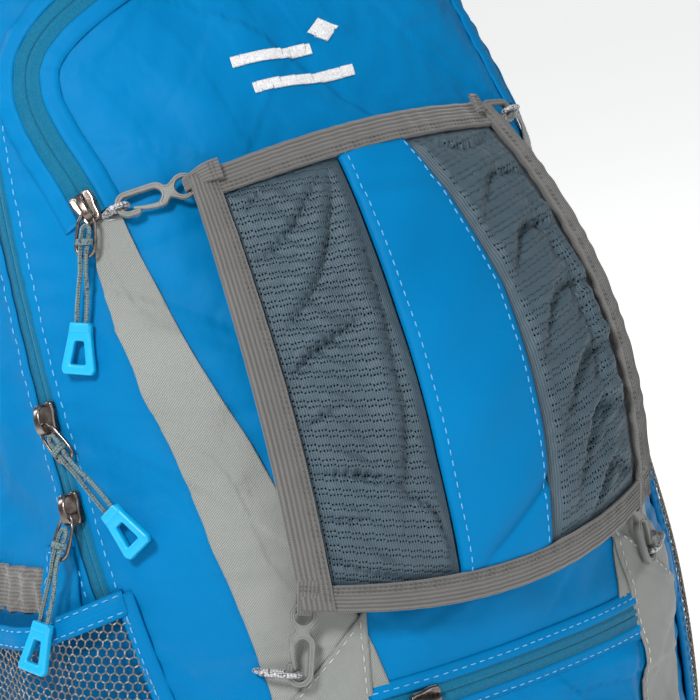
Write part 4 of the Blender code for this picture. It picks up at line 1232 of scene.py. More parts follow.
def binding_strip(edge, raised):
    """Ribbed elastic folded over one edge of the holder, with two rows of stitches near its inner side."""
    count = 260
    section = []
    for k in range(BINDING_RIBS * 4 + 1):
        share = k / (BINDING_RIBS * 4)
        rib = 0.00036 * abs(math.sin(math.pi * BINDING_RIBS * share)) ** 0.7
        section.append((BINDING_WIDTH * (1 - share), 0.0015 + rib))
    section += [(-0.0004, 0.0013), (-0.0008, 0.0004), (-0.0004, -0.0006), (0.003, -0.0012), (0.007, -0.0013),
                (BINDING_WIDTH, -0.0012)]
    lift = BINDING_LIFT + raised
    lines = []
    for inset, height in section:
        across, down = edge_run(edge, inset, count)
        lines.append(holder_point(across, down, np.full(count, lift + height)))
    along = lengths(lines[0])
    wave = 0.00022 * np.sin(TAU * along / 0.0113 + 1.5 * np.sin(TAU * along / 0.037))
    lines = [line + bag_normal(settled(line)) * wave[:, None] for line in lines]
    around = np.array([inset for inset, _ in section])
    obj = sweep("holder_elastic_" + edge, lines, ELASTIC, along=along, around=around)
    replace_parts(obj, "holder_binding")
    for number, inset in enumerate((0.0012, 0.0026)):
        across, down = edge_run(edge, BINDING_WIDTH - inset, count)
        p = holder_point(across, down, np.full(count, lift + 0.0019))
        stitches(f"binding_stitch_{edge}_{number}", p[4:-4], DARK_THREAD, dash=0.0011, gap=0.0011,
                 radius=0.00028, on_bag=False)


def holder():
    knit_panel("holder_mesh_left", STRIP_LEFT, -0.965, CREASES_LEFT)
    knit_panel("holder_mesh_right", STRIP_RIGHT, 0.965, CREASES_RIGHT)
    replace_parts(middle_strip(), "holder_panel")
    for edge, raised in (("top", 0.0), ("foot", 0.0), ("left", 0.0011), ("right", 0.0011)):
        binding_strip(edge, raised)


# ---------------------------------------------------------------- moulded pieces

def ring_of(points, step=0.0004, clockwise=False, rounding=2):
    """Closed outline in even steps with its corners a little rounded, turning the way asked."""
    p = np.asarray(points, float)
    closed = np.vstack([p, p[:1]])
    flat = resample(np.column_stack([closed, np.zeros(len(closed))]), step)[:-1, :2]
    for _ in range(rounding):
        flat = (np.roll(flat, 1, 0) + 2 * flat + np.roll(flat, -1, 0)) / 4
    x, y = flat.T
    area = (x * np.roll(y, -1) - np.roll(x, -1) * y).sum()
    return flat[::-1] if (area < 0) != clockwise else flat


def inset_ring(p, distance):
    run = np.roll(p, -1, 0) - np.roll(p, 1, 0)
    run /= np.linalg.norm(run, axis=1, keepdims=True)
    return p + np.column_stack([-run[:, 1], run[:, 0]]) * distance


def moulding(name, outlines, levels, matrix, material, body, step=0.0004):
    """Solid from a flat outline and its holes; levels are (inset, height) from its top cap down."""
    bm = bmesh.new()
    caps = ([], [])
    for index, outline in enumerate(outlines):
        ring = ring_of(outline, step, clockwise=index > 0)
        rows = []
        for inset, height in levels:
            flat = inset_ring(ring, inset)
            rows.append([bm.verts.new(matrix @ Vector((x, y, height))) for x, y in flat])
        for upper, lower in zip(rows, rows[1:]):
            for k in range(len(ring)):
                j = (k + 1) % len(ring)
                bm.faces.new((upper[k], lower[k], lower[j], upper[j]))
        for cap, row in zip(caps, (rows[0], rows[-1])):
            cap += [bm.edges.get((row[k], row[(k + 1) % len(row)])) for k in range(len(row))]
    for cap in caps:
        bmesh.ops.triangle_fill(bm, edges=cap, use_beauty=True)
    bmesh.ops.recalc_face_normals(bm, faces=bm.faces)
    mesh = bpy.data.meshes.new(name)
    bm.to_mesh(mesh)
    bm.free()
    mesh.shade_smooth()
    mesh.set_sharp_from_angle(angle=math.radians(38))
    return placed(name, mesh, material, body)


def rounded_levels(thickness, bevel, steps=3):
    """Levels of a plate whose edges are rounded by a bevel."""
    top = []
    for k in range(steps + 1):
        turn = math.pi / 2 * k / steps
        top.append((bevel * (1 - math.sin(turn)), thickness / 2 - bevel * (1 - math.cos(turn))))
    return top + [(inset, -height) for inset, height in reversed(top)]


def arc(x, y, radius, start, end, count):
    turn = np.radians(np.linspace(start, end, count))
    return list(zip(x + radius * np.cos(turn), y + radius * np.sin(turn)))


def box(left, right, low, high):
    return [(left, low), (right, low), (right, high), (left, high)]


def whole(half, flip_x, flip_y):
    """A half outline joined to its mirror image."""
    return half + [(x * flip_x, y * flip_y) for x, y in reversed(half)]


def frame_at(origin, along, normal):
    """Matrix with X along and Z close to the normal, at the origin."""
    x = Vector(along).normalized()
    y = Vector(normal).cross(x).normalized()
    matrix = Matrix((x, y, x.cross(y))).transposed().to_4x4()
    matrix.translation = Vector(origin)
    return matrix


def put(matrix, points):
    """Points of a piece's own frame, in the bag's."""
    m = np.array(matrix)
    return np.asarray(points, float) @ m[:3, :3].T + m[:3, 3]


def spot(point):
    """Place on the bag, as a vector, and the bag's normal there."""
    point = np.asarray(point, float)
    return Vector(point), Vector(bag_normal(point[None])[0])


def lifted(point, lift):
    at, normal = spot(point)
    return at + normal * lift


# ---------------------------------------------------------------- snap hooks, ties and cord loops

# Where each snap hook's eye and nose lie on the front: across and up.
HOOK_SPOTS = {
    "upper_left": ((-0.0805, 0.3330), (-0.1050, 0.3295)),
    "lower_left": ((-0.0900, 0.1585), (-0.0965, 0.1310)),
    "upper_right": ((0.0685, 0.3330), (0.0930, 0.3295)),
    "lower_right": ((0.0805, 0.1585), (0.0870, 0.1310)),
}
EYE_RADIUS = 0.0056
EYE_HOLE = 0.0036
SLOT_START = 0.0095
NOSE_CENTRE = 0.0238
NOSE_RADIUS = 0.0055
SLOT_HALF = 0.0030
HOOK_THICKNESS = 0.0030
HOOK_LIFT = 0.0047
GATE_THICKNESS = 0.0022
GATE_ROOT = SLOT_START + 0.0012
LOOP_CORD_RADIUS = 0.0011


def hook_matrix(eye, nose):
    middle, normal = spot(front_point((eye[0] + nose[0]) / 2, (eye[1] + nose[1]) / 2))
    along = Vector(front_point(*nose)) - Vector(front_point(*eye))
    along = (along - normal * along.dot(normal)).normalized()
    half = (NOSE_CENTRE + NOSE_RADIUS) / 2
    return frame_at(middle + normal * HOOK_LIFT - along * half, along, normal)


def snap_hook(name, matrix, hand):
    """Moulded hook with a raised rim, and its springy gate."""
    bar = NOSE_RADIUS - SLOT_HALF
    body = arc(0, 0, EYE_RADIUS, 48, 312, 40)
    body += [(0.0062, -0.0027), (0.0072, -0.0036), (0.0084, -0.0050), (0.0112, -NOSE_RADIUS)]
    body += [(0.0118, -SLOT_HALF - 0.0003)] + arc(SLOT_START + SLOT_HALF, 0, SLOT_HALF, 205, 90, 14)
    body += arc(NOSE_CENTRE, 0, SLOT_HALF, 90, -90, 18)
    body += arc(0.0205, -(SLOT_HALF + bar / 2), bar / 2, 90, 270, 10)
    body += arc(NOSE_CENTRE, 0, NOSE_RADIUS, -90, 90, 26)
    body += [(0.0110, NOSE_RADIUS), (0.0088, 0.0046), (0.0076, 0.0031), (0.0062, 0.0027)]
    hole = arc(0, 0, EYE_HOLE, 0, 350, 36)
    outlines = [[(x, hand * y) for x, y in line] for line in (body, hole)]
    half = HOOK_THICKNESS / 2
    levels = [(0.00105, half - 0.00035), (0.00085, half - 0.00005), (0.00060, half),
              (0.00028, half - 0.00012), (0, half - 0.0006), (0, 0.0006 - half), (0.0003, 0.0001 - half),
              (0.0008, -half)]
    hook = moulding(name + "_hook_body", outlines, levels, matrix, HOOK, name + "_hook")
    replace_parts(hook, name + "_snap_hook")
    gate = [(GATE_ROOT - 0.0026, -NOSE_RADIUS + 0.0006), (0.0130, -0.0052), (0.0172, -0.0044),
            (0.0222, -0.0028), (0.0220, -0.0016), (0.0175, -0.0026), (0.0135, -0.0031),
            (GATE_ROOT - 0.0012, -SLOT_HALF)]
    gate = [(x, hand * y) for x, y in gate]
    levels = rounded_levels(GATE_THICKNESS, 0.0004, 2)
    lever = moulding(name + "_gate_lever", [gate], levels, matrix, HOOK, name + "_gate")
    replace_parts(lever, name + "_hook_gate")


def flat_loop(name, matrix, route, widths, thickness, material, body="bag", across=14):
    """Ribbed band that follows a route in the XZ plane of its frame, across Y; its edges are rounded."""
    p = smooth([(x, w, z) for (x, z), w in zip(route, widths)], 0.0005)
    line, half = np.column_stack([p[:, 0], np.zeros(len(p)), p[:, 2]]), p[:, 1] / 2
    normal = np.cross(tangents(line), (0, 1, 0))
    lines, around = [], []
    for side, order in ((1, range(across + 1)), (-1, reversed(range(across + 1)))):
        for k in order:
            share = 2 * k / across - 1
            rise = side * thickness / 2 * (1 - abs(share) ** 6 * 0.7)
            row = line + normal * rise
            row[:, 1] = half * share
            lines.append(put(matrix, row))
            around.append(share * widths[0] / 2)
    return sweep(name, lines, material, body, along=lengths(line), around=np.array(around))


def corner_tie(name, matrix):
    """Elastic band from the holder's corner through the hook's eye and back under the panel."""
    route = [(-0.0160, 0.0090), (-0.0130, 0.0093), (-0.0088, 0.0084), (-0.0045, 0.0056), (-0.0012, 0.0024),
             (-0.0006, -0.0006), (-0.0026, -0.0022), (-0.0060, -0.0006), (-0.0090, 0.0016)]
    widths = (0.0088, 0.0086, 0.0080, 0.0066, 0.0062, 0.0062, 0.0066, 0.0074, 0.0080)
    flat_loop("corner_tie_" + name, matrix, route, widths, 0.0011, ELASTIC)
    for shift in (0.0, 0.0017):
        row = put(matrix, [(-0.0118 - shift, y, 0.0100) for y in np.linspace(-0.0040, 0.0040, 8)])
        stitches(f"tie_stitch_{name}_{int(shift * 1e4)}", row, DARK_THREAD, dash=0.0011, gap=0.0007,
                 radius=0.00028, on_bag=False)


def cord_loop(name, matrix):
    """Braided loop from the bag's seam over the hook's nose, through its slot and back under it."""
    turn, run = Matrix(), 0.0078
    if name.startswith("lower"):
        turn = Matrix.Rotation(math.radians(-90 if name.endswith("left") else 90), 4, "Z")
        run = 0.0150
    over = HOOK_THICKNESS / 2 + LOOP_CORD_RADIUS + 0.0005
    edge = NOSE_RADIUS + 0.0008
    outline = [(run + 0.0030, -0.0046), (run + 0.0012, -0.0016), (run, 0.0012), (edge, over),
               (edge - 0.0030, over + 0.0002), (0.0012, over - 0.0004), (0, 0.0008), (0, -0.0008),
               (0.0012, 0.0004 - over), (edge - 0.0030, -over - 0.0002), (edge, -over),
               (run - 0.0006, -over - 0.0004), (run + 0.0018, -over - 0.0022)]
    place_at = matrix @ Matrix.Translation((NOSE_CENTRE + 0.0003, 0, 0)) @ turn
    p = put(place_at, smooth([(x, 0, z) for x, z in outline], 0.0004))
    ply = tube("loop_cord_" + name, p, LOOP_CORD_RADIUS, LOOP_CORD, sides=14)
    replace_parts(ply, "cord_loop_" + name)


def hooks():
    for name, (eye, nose) in HOOK_SPOTS.items():
        matrix = hook_matrix(eye, nose)
        snap_hook(name, matrix, 1 if name in ("upper_right", "lower_left") else -1)
        corner_tie(name, matrix)
        cord_loop(name, matrix)


# ---------------------------------------------------------------- sliders and pulls

SLIDER_SEAT = 0.0028
SLIDER_THICKNESS = 0.0030
SLIDER_EYE = (-0.0028, 0.0052)
RING_HALF_WIDTH = 0.0041
RING_LENGTH = 0.0180
TAB_START = 0.0453
TAB_LENGTH = 0.0206
TAB_THICKNESS = 0.0038
CORD_RADIUS = 0.00095

# One side of the doubled pull cord from the tab to the middle of its bend, in the pull's own frame.
CORD_SIDE = (
    (0.0400, 0.0021, 0.0001), (0.0300, 0.0018, 0.0004), (0.0240, 0.0012, 0.0012), (0.0180, 0.0013, 0.0019),
    (0.0140, 0.0014, 0.0016), (0.0095, 0.0016, 0.0009), (0.0064, 0.0014, 0.0005), (0.0052, 0, 0.0004),
)

BRIDGE = ((-0.0056, 0.0022), (-0.0059, 0.0048), (-0.0050, 0.0070), (-0.0026, 0.0078), (0.0010, 0.0077),
          (0.0040, 0.0066), (0.0054, 0.0045), (0.0056, 0.0022))


def slider(name, matrix):
    """Shield-shaped body in two plates, with an arched bridge that holds the ring."""
    shield = [(-0.0068, -0.0031), (-0.0068, 0.0031), (-0.0050, 0.0040), (-0.0010, 0.0043), (0.0028, 0.0052),
              (0.0062, 0.0050), (0.0071, 0.0030), (0.0062, 0.0008), (0.0060, 0), (0.0062, -0.0008),
              (0.0071, -0.0030), (0.0062, -0.0050), (0.0028, -0.0052), (-0.0010, -0.0043), (-0.0050, -0.0040)]
    half = SLIDER_THICKNESS / 2
    levels = [(0.0011, half - 0.0001), (0.0006, half), (0.0002, half - 0.0002), (0, half - 0.0006),
              (0, 0.0002), (0.0007, 0), (0.0007, -0.0004), (0, -0.0006), (0, 0.0004 - half), (0.0004, -half)]
    place_at = matrix @ Matrix.Translation((0, 0, half))
    body = moulding(name + "_slider_body", [shield], levels, place_at, METAL, name + "_slider", 0.0003)
    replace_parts(body, name + "_slider")
    widths = (0.0042, 0.0040, 0.0036, 0.0033, 0.0033, 0.0036, 0.0040, 0.0042)
    flat_loop(name + "_slider_bridge", matrix, BRIDGE, widths, 0.0011, METAL, name + "_slider", 8)


def pull(name, matrix):
    """Wire ring, knotted double cord and soft tab."""
    body = name + "_pull"
    half = RING_HALF_WIDTH
    wire = arc(RING_LENGTH - half, 0, half, -90, 90, 20) + [(0.0100, half), (0.0035, half - 0.0005)]
    wire += arc(0.0016, 0, half - 0.0016, 80, 280, 14) + [(0.0035, 0.0005 - half), (0.0100, -half)]
    ring = ring_of(wire, 0.0005, rounding=4)
    thick = 0.00072 + 0.00014 * ease((ring[:, 0] - 0.012) / 0.005)
    p = put(matrix, np.column_stack([ring, np.zeros(len(ring))]))
    loop = tube(name + "_ring_wire", p, thick, METAL, body, sides=12, closed=True, start=matrix.col[2][:3])
    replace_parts(loop, name + "_pull_ring")
    side = [(TAB_START + 0.0035, 0.0017, 0), *CORD_SIDE]
    route = side + [(x, -y, z) for x, y, z in reversed(side[:-1])]
    route = put(matrix, smooth(route, 0.0006))
    cord = tube(name + "_cord", route, CORD_RADIUS, PULL_CORD, body, sides=12, start=matrix.col[2][:3])
    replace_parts(cord, name + "_pull_cord")
    knot = []
    for turn in np.linspace(0, 1.62 * TAU, 60):
        rise = 0.0012 + 0.0022 * math.sin(turn)
        knot.append((0.0112 + 0.00105 * turn / TAU, 0.0029 * math.cos(turn), rise))
    wrap = tube(name + "_cord_knot", put(matrix, knot), 0.00085, PULL_CORD, body, sides=10)
    tuple(route[0])
    float(lengths(route)[-1])
    [tuple(point) for point in route]
    start, end = TAB_START, TAB_START + TAB_LENGTH
    outline = [(start, -0.0048), (start, 0.0048), (start + 0.0045, 0.0051), (end - 0.0022, 0.0074),
               (end, 0.0062), (end, -0.0062), (end - 0.0022, -0.0074), (start + 0.0045, -0.0051)]
    slot = whole([(start + 0.0070, 0.0019), (end - 0.0042, 0.0033)], 1, -1)
    levels = rounded_levels(TAB_THICKNESS, 0.0012, 5)
    tab = moulding(name + "_tab", [outline, slot], levels, matrix, RUBBER, body)
    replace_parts(tab, name + "_pull_tab")
    collar = [(start - 0.0006, -0.0043), (start - 0.0006, 0.0043), (start + 0.0034, 0.0046),
              (start + 0.0034, -0.0046)]
    levels = rounded_levels(TAB_THICKNESS + 0.0009, 0.0008, 4)
    moulding(name + "_tab_collar", [collar], levels, matrix, RUBBER, body)


def pulls():
    spots = (
        ("main_upper", side_point(-1, split_y(0.251), 0.251), side_point(-1, split_y(0.281), 0.281),
         lifted(side_point(-1, -0.086, 0.196), 0.0052)),
        ("main_lower", side_point(-1, split_y(0.214), 0.214), side_point(-1, split_y(0.244), 0.244),
         lifted(side_point(-1, -0.047, 0.160), 0.0205)),
        ("front", front_point(-0.112, 0.332), front_point(-0.1135, 0.350),
         lifted(front_point(-0.1275, 0.276), 0.0055)),
        ("lower", front_point(-0.050, LOWER_ZIP_HEIGHT), front_point(-0.040, LOWER_ZIP_HEIGHT),
         lifted(front_point(-0.098, 0.087), 0.0105)),
    )
    for name, at, ahead, target in spots:
        here, normal = spot(at)
        matrix = frame_at(here + normal * SLIDER_SEAT, Vector(ahead) - here, normal)
        slider(name, matrix)
        eye = matrix @ Vector((SLIDER_EYE[0], 0, SLIDER_EYE[1]))
        normal = Vector(bag_normal(np.array((eye + target) / 2)[None])[0])
        pull(name, frame_at(eye, target - eye, normal))


# ---------------------------------------------------------------- side pockets

POCKET_FLOOR = 0.020
POCKET_FRONT_RIM = 0.178
POCKET_RIM = 0.166
POCKET_BACK = 0.030
POCKET_BULGE = 0.0135
POCKET_SPAN = 0.125
POCKET_TALL = 0.150
NET_PITCH = 0.0031
NET_LINK = 0.0037
NET_SLANT = math.radians(-38)
NET_STRAND = 0.00036
PATCH_LIFT = 0.0024

# Sections of the pocket's hem and front seam: share of the way down or across, and lift.
HEM_SECTION = (
    (0.945, 0.0006), (0.955, 0.0012), (0.985, 0.0013), (1.005, 0.0010), (1.012, 0.0002), (1.005, -0.0008),
    (0.985, -0.0010), (0.955, -0.0009), (0.945, -0.0004),
)
SEAM_SECTION = (
    (-0.030, -0.0020), (-0.028, -0.0006), (-0.010, 0.0001), (0.016, 0.0003), (0.026, -0.0004),
    (0.022, -0.0016),
)


def pocket_point(sign, across, down, lift=0.0):
    """Point of a side pocket: across runs from its front seam to the back, down from the foot to the rim."""
    rim = POCKET_FRONT_RIM + (POCKET_RIM - POCKET_FRONT_RIM) * np.minimum(across / 0.35, 1)
    z = POCKET_FLOOR + (rim - POCKET_FLOOR) * down
    front = split_y(z) - 0.010
    y = front + (POCKET_BACK - front) * across
    swell = np.sin(math.pi * np.clip(across, 0, 1)) ** 0.6
    stand = POCKET_BULGE * swell * np.sin(math.pi / 2 * np.minimum(1.3 * np.clip(down, 0, 1), 1)) ** 0.8
    pucker = 0.0011 * swell * np.sin(TAU * across * 4.2 + 3 * down) * np.clip(down, 0, 1) ** 2
    p = side_point(sign, y, z)
    return p + bag_normal(p) * (0.0022 + stand + pucker + lift)[..., None]


def net(side, sign):
    """Knitted net: long slanted strands, and short links that step from one strand to the next."""
    run = np.array((math.cos(NET_SLANT), math.sin(NET_SLANT)))
    step = np.array((-run[1], run[0]))
    reach = POCKET_SPAN + POCKET_TALL
    size = np.array((POCKET_SPAN, POCKET_TALL))
    starts, ends = [], []
    for k in range(-int(reach / NET_PITCH), int(reach / NET_PITCH)):
        along = np.arange(-reach, reach, NET_LINK / 2)
        wave = 0.16 * NET_PITCH * np.where(np.arange(len(along)) % 2 == k % 2, 1.0, -1.0)
        flat = along[:, None] * run + (k * NET_PITCH + wave)[:, None] * step
        inside = ((flat > 0) & (flat < size)).all(1)
        joined = inside[:-1] & inside[1:]
        starts.append(flat[:-1][joined])
        ends.append(flat[1:][joined])
        high = inside & (wave > 0)
        links = flat[high]
        across_gap = links + step * (NET_PITCH * 0.68)
        kept = ((across_gap > 0) & (across_gap < size)).all(1)
        starts.append(links[kept])
        ends.append(across_gap[kept])
    starts, ends = np.vstack(starts), np.vstack(ends)
    starts, ends = (pocket_point(sign, *(flat / size).T) for flat in (starts, ends))
    obj = capsules("side_net_" + side, starts, ends, NET_STRAND, NET, sides=5)
    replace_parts(obj, "side_pocket_" + side)


def side_pocket(side, sign):
    across = np.linspace(0, 1, 90)
    rows = [pocket_point(sign, across, np.full(90, down), np.full(90, lift)) for down, lift in HEM_SECTION]
    sweep("side_hem_" + side, rows, FABRIC, around=np.linspace(0, 0.012, 9))
    for name, down in (("low", 0.957), ("high", 1.000)):
        line = pocket_point(sign, across, np.full(90, down), np.full(90, 0.0014))
        stitches(f"hem_stitch_{name}_{side}", line, BLUE_THREAD, on_bag=False)
    net(side, sign)
    # A darker blue sheet on the bag's side behind the net: painted shade inside the pocket, not a lining of
    # its own.
    y, z = np.meshgrid(np.linspace(0.0, 1.0, 50), np.linspace(POCKET_FLOOR, 0.172, 50))
    front = split_y(z) - 0.0105
    plain = side_point(sign, front + (POCKET_BACK - front) * y, z)
    grid("pocket_painted_shade_" + side, laid(plain, 0.0012), POCKET_SHADE, uv=grid_uv(plain), thickness=0.0006)
    down = np.linspace(0, 1.0, 60)
    edge = [pocket_point(sign, np.full(60, at), down, np.full(60, lift)) for at, lift in SEAM_SECTION]
    sweep("side_seam_" + side, edge, FABRIC, around=np.linspace(0, 0.008, 6))
    line = pocket_point(sign, np.full(60, 0.008), down, np.full(60, 0.0005))
    stitches("side_seam_stitch_" + side, line, BLUE_THREAD, on_bag=False)
    box_patch(side, sign)
    side_strap(side, sign)


def box_patch(side, sign):
    """Doubled patch of fabric that the strap's front end is sewn into."""
    y, z = np.meshgrid(np.linspace(-0.0560, -0.0370, 24), np.linspace(0.166, 0.1985, 26))
    plain = side_point(sign, y, z)
    grid("strap_patch_" + side, laid(plain, PATCH_LIFT), FABRIC, uv=grid_uv(plain), thickness=0.0020)
    edge = [(-0.0395, z) for z in np.linspace(0.168, 0.196, 12)]
    edge += [(y, 0.196) for y in np.linspace(-0.0400, -0.0545, 9)]
    y, z = np.array(edge).T
    stitches("patch_stitch_" + side, side_point(sign, y, z), BLUE_THREAD, lift=0.0026)


def side_strap(side, sign):
    ys = np.linspace(-0.0380, 0.0410, 60)
    zs = np.linspace(-0.0095, 0.0095, 26) + 0.180
    y, z = np.meshgrid(ys, zs)
    plain = side_point(sign, y, z)
    uv = grid_uv(plain)[..., ::-1]
    ripple = 0.0006 * np.sin(TAU * y / 0.013)
    tucked = -0.0014 * ease((-0.0330 - y) / 0.005) - 0.0012 * ease((y - 0.0370) / 0.004)
    p = laid(plain, 0.0018 + ripple + tucked)
    obj = grid("side_elastic_" + side, p, WEBBING, uv=uv, thickness=0.0014)
    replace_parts(obj, "side_strap_" + side)


# ---------------------------------------------------------------- lower pocket and embroidered mark

def lower_pocket():
    """Panel of the lower pocket, a little fuller than the bag, with its edges turned in."""
    xs = np.linspace(-0.0700, 0.0700, 110)
    zs = np.linspace(BASE_TOP + 0.002, 0.1050, 70)
    x, z = np.meshgrid(xs, zs)
    near = np.minimum(np.minimum(x - xs[0], xs[-1] - x), np.minimum(z - zs[0], zs[-1] - z))
    full = ease(near / 0.009)
    folds = waves(x, z, ((26, 70, 0.3, 0.5), (43, 20, 1.7, 0.7), (15, 95, 2.2, 0.15))) * full
    plain = front_point(x, z)
    obj = grid("lower_pocket_panel", laid(plain, 0.0004 + 0.0022 * full + folds), FABRIC, uv=grid_uv(plain),
               thickness=0.0010)
    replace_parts(obj, "lower_front_pocket")


def mark():
    """Plain embroidered bars and a lozenge in satin stitch."""
    rows = []
    for left, right, low, high in ((-0.034, 0.020, 0.3630, 0.3675), (-0.038, 0.004, 0.3750, 0.3795)):
        x = np.arange(left, right, 0.00042)
        rows.append((x, np.full(len(x), low), x + 0.0007, np.full(len(x), high)))
    x = np.arange(-0.0085, 0.0085, 0.00042)
    tall = 0.0050 * (1 - np.abs(x) / 0.0088)
    rows.append((x + 0.014, 0.3835 - tall, x + 0.014, 0.3835 + tall))
    start_x, start_z, end_x, end_z = (np.concatenate(part) for part in zip(*rows))
    starts, ends = laid(front_point(start_x, start_z), 0.0005), laid(front_point(end_x, end_z), 0.0005)
    capsules("embroidered_mark", starts, ends, 0.00030, WHITE_THREAD)


# ---------------------------------------------------------------- padded back and harness

WEBBING_THICKNESS = 0.0016


def mirrored(route, sign):
    """A right-hand route given in millimetres, in metres and on the side asked for."""
    return np.array(route, float) * (sign, 1, 1) * MM


def closed_pad(lower, upper):
    """Closed mesh between two grids of points that share their outline."""
    rows, columns = lower.shape[:2]
    count = rows * columns
    points = np.vstack([lower.reshape(-1, 3), upper.reshape(-1, 3)])
    faces = grid_faces(rows, columns).tolist()
    faces += (grid_faces(rows, columns, flip=True) + count).tolist()
    rim = list(range(columns)) + [r * columns + columns - 1 for r in range(1, rows)]
    rim += [(rows - 1) * columns + k for k in reversed(range(columns - 1))]
    rim += [r * columns for r in reversed(range(1, rows - 1))]
    for a, b in zip(rim, rim[1:] + rim[:1]):
        faces.append([b, a, a + count, b + count])
    return points, faces


def padded(name, node_name, lower, upper, body, cap=0.0028):
    """Foam pad swelled by a cloth simulation, no further than a cap, then smoothed."""
    points, faces = closed_pad(lower, upper)
    obj = make_mesh(name, points, faces, AIR, body)
    bm = bmesh.new()
    bm.from_mesh(obj.data)
    bmesh.ops.recalc_face_normals(bm, faces=bm.faces)
    bm.to_mesh(obj.data)
    bm.free()
    remesh = obj.modifiers.new("remesh", "REMESH")
    remesh.mode = "VOXEL"
    remesh.voxel_size = 0.0040
    remesh.use_smooth_shade = True
    bake(obj)
    swell(obj, cap)
    soften = obj.modifiers.new("soften", "SMOOTH")
    soften.factor = 0.5
    soften.iterations = 3
    bake(obj)
    obj.modifiers.new("subdivision", "SUBSURF").levels = 1
    obj.modifiers["subdivision"].render_levels = 1
    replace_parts(obj, node_name)


def bake(obj):
    """The object's mesh becomes what its modifiers make of it."""
    bpy.context.view_layer.update()
    evaluated = obj.evaluated_get(bpy.context.evaluated_depsgraph_get())
    mesh = bpy.data.meshes.new_from_object(evaluated)
    obj.modifiers.clear()
    obj.data = mesh
    mesh.shade_smooth()


def swell(obj, cap):
    scene = bpy.context.scene
    rest = np.empty(len(obj.data.vertices) * 3)
    obj.data.vertices.foreach_get("co", rest)
    cloth = obj.modifiers.new("cloth", "CLOTH")
    settings = cloth.settings
    settings.use_pressure = True
    settings.uniform_pressure_force = 4.0
    settings.effector_weights.gravity = 0.0
    settings.quality = 5
    cloth.point_cache.frame_start = 1
    cloth.point_cache.frame_end = 20
    for frame_number in range(1, 21):
        scene.frame_set(frame_number)
    bake(obj)
    scene.frame_set(1)
    moved = np.empty(len(rest))
    obj.data.vertices.foreach_get("co", moved)
    shift = (moved - rest).reshape(-1, 3)
    far = np.linalg.norm(shift, axis=1, keepdims=True)
    shift *= np.minimum(1, cap / np.maximum(far, 1e-9))
    obj.data.vertices.foreach_set("co", (rest + shift.ravel()))
    obj.data.update()


def edging(name, lower, upper, radius, body="bag"):
    """Piping sewn round a pad, half way through it."""
    middle = (lower + upper) / 2
    line = np.vstack([middle[0], middle[1:, -1], middle[-1, -2::-1], middle[-2:0:-1, 0], middle[:1, 0]])
    tube(name, resample(line, 0.003)[:-1], radius, STRAP, body, 8, True)


def back_pad(name, left, right, foot, top):
    xs, zs = np.linspace(left, right, 14), np.linspace(foot, top, 40)
    x, z = np.meshgrid(xs, zs)
    edge = np.minimum(np.minimum(x - left, right - x) / 0.012, np.minimum(z - foot, top - z) / 0.012)
    full = np.clip(edge, 0, 1) ** 0.45
    base_points = back_point(x, z)
    normal = bag_normal(base_points)
    lower = base_points + normal * 0.0010
    channel = 0.0026 * np.exp(-((z - foot - (top - foot) / 2) / 0.004) ** 2) * (top - foot > 0.1)
    upper = lower + normal * (0.0012 + 0.0062 * full - channel)[..., None]
    padded(name + "_foam", name, lower, upper, "bag")
    edging(name + "_edging", lower, upper, 0.0019)


def route_frame(path, centre):
    """Across and outward directions of a strap that goes round a line across the pack."""
    run = unit(np.gradient(path, axis=0))
    side = np.array((1.0, 0, 0)) - run * run[:, :1]
    normal = unit(np.cross(run, side))
    outward = path - (0, *centre)
    outward[:, 0] = 0
    normal *= np.where((normal * outward).sum(1) < 0, -1.0, 1.0)[:, None]
    return unit(np.cross(normal, run)), normal


def woven_band(name, path, side, normal, width, thickness, body, columns=8, rounding=0.0):
    """Flat strap along a path; rounding is how much thinner it is at its very edges."""
    lines, around = [], []
    for face, order in ((1, range(columns + 1)), (-1, reversed(range(columns + 1)))):
        for k in order:
            share = 2 * k / columns - 1
            rise = thickness * (0.5 + face * 0.5 * (1 - rounding * abs(share) ** 8))
            lines.append(path + side * share * width / 2 + normal * rise)
            around.append(share * width / 2)
    return sweep(name, lines, STRAP, body, along=lengths(path), around=np.array(around))


def webbing(name, node_name, path, side, normal, width, thickness, body, sewn):
    """Strap of the frame; sewn are the shares of its length where stitches cross it."""
    obj = woven_band(name, path, side, normal, width, thickness, body, columns=10, rounding=0.75)
    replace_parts(obj, node_name)
    for number, place_at in enumerate(sewn):
        k = int(place_at * (len(path) - 1))
        ends = path[k] + normal[k] * (thickness + 0.0001) + np.array([[-0.42], [0.42]]) * width * side[k]
        stitches(f"{name}_stitch_{number}", ends, DARK_THREAD, body=body, on_bag=False)


# Routes of the right-hand straps, in millimetres, and the middle lines that they go round.
SHOULDER_ROUTE = (
    (46, 62, 428), (47, 76, 434), (50, 93, 424), (54, 106, 396), (58, 114, 356), (63, 118, 306),
    (69, 116, 254), (76, 108, 206), (82, 98, 170),
)
LOWER_WEBBING_ROUTE = ((87.5, 90, 137), (90.5, 83, 112), (93.5, 75, 84), (96, 66, 48))
SHOULDER_CENTRE = (0.062, 0.30)
SHOULDER_WIDTH = 0.060
SHOULDER_REACH_CAP = 0.0016
LOCK_WEBBING_ROUTE = ((80.5, 103, 182), (82.8, 99.5, 168), (85, 96.5, 153), (87.2, 92, 140), (88.6, 88, 131))
LOCK_ENDS = ((82.8, 99, 166.5), (87.3, 94, 140))
STERNUM_SEAT = (36.5, 131.5, 300)
HIP_ROUTE = (
    (140, 54, 24), (141, 69, 23), (136, 88, 22), (122, 106, 21), (94, 120, 20), (60, 127, 20), (34, 129, 20),
)
HAUL_ROUTE = (
    (-34, 52, 454), (-31, 65, 466), (-22, 76, 474), (0, 82, 478), (22, 76, 474), (31, 65, 466), (34, 52, 454),
)


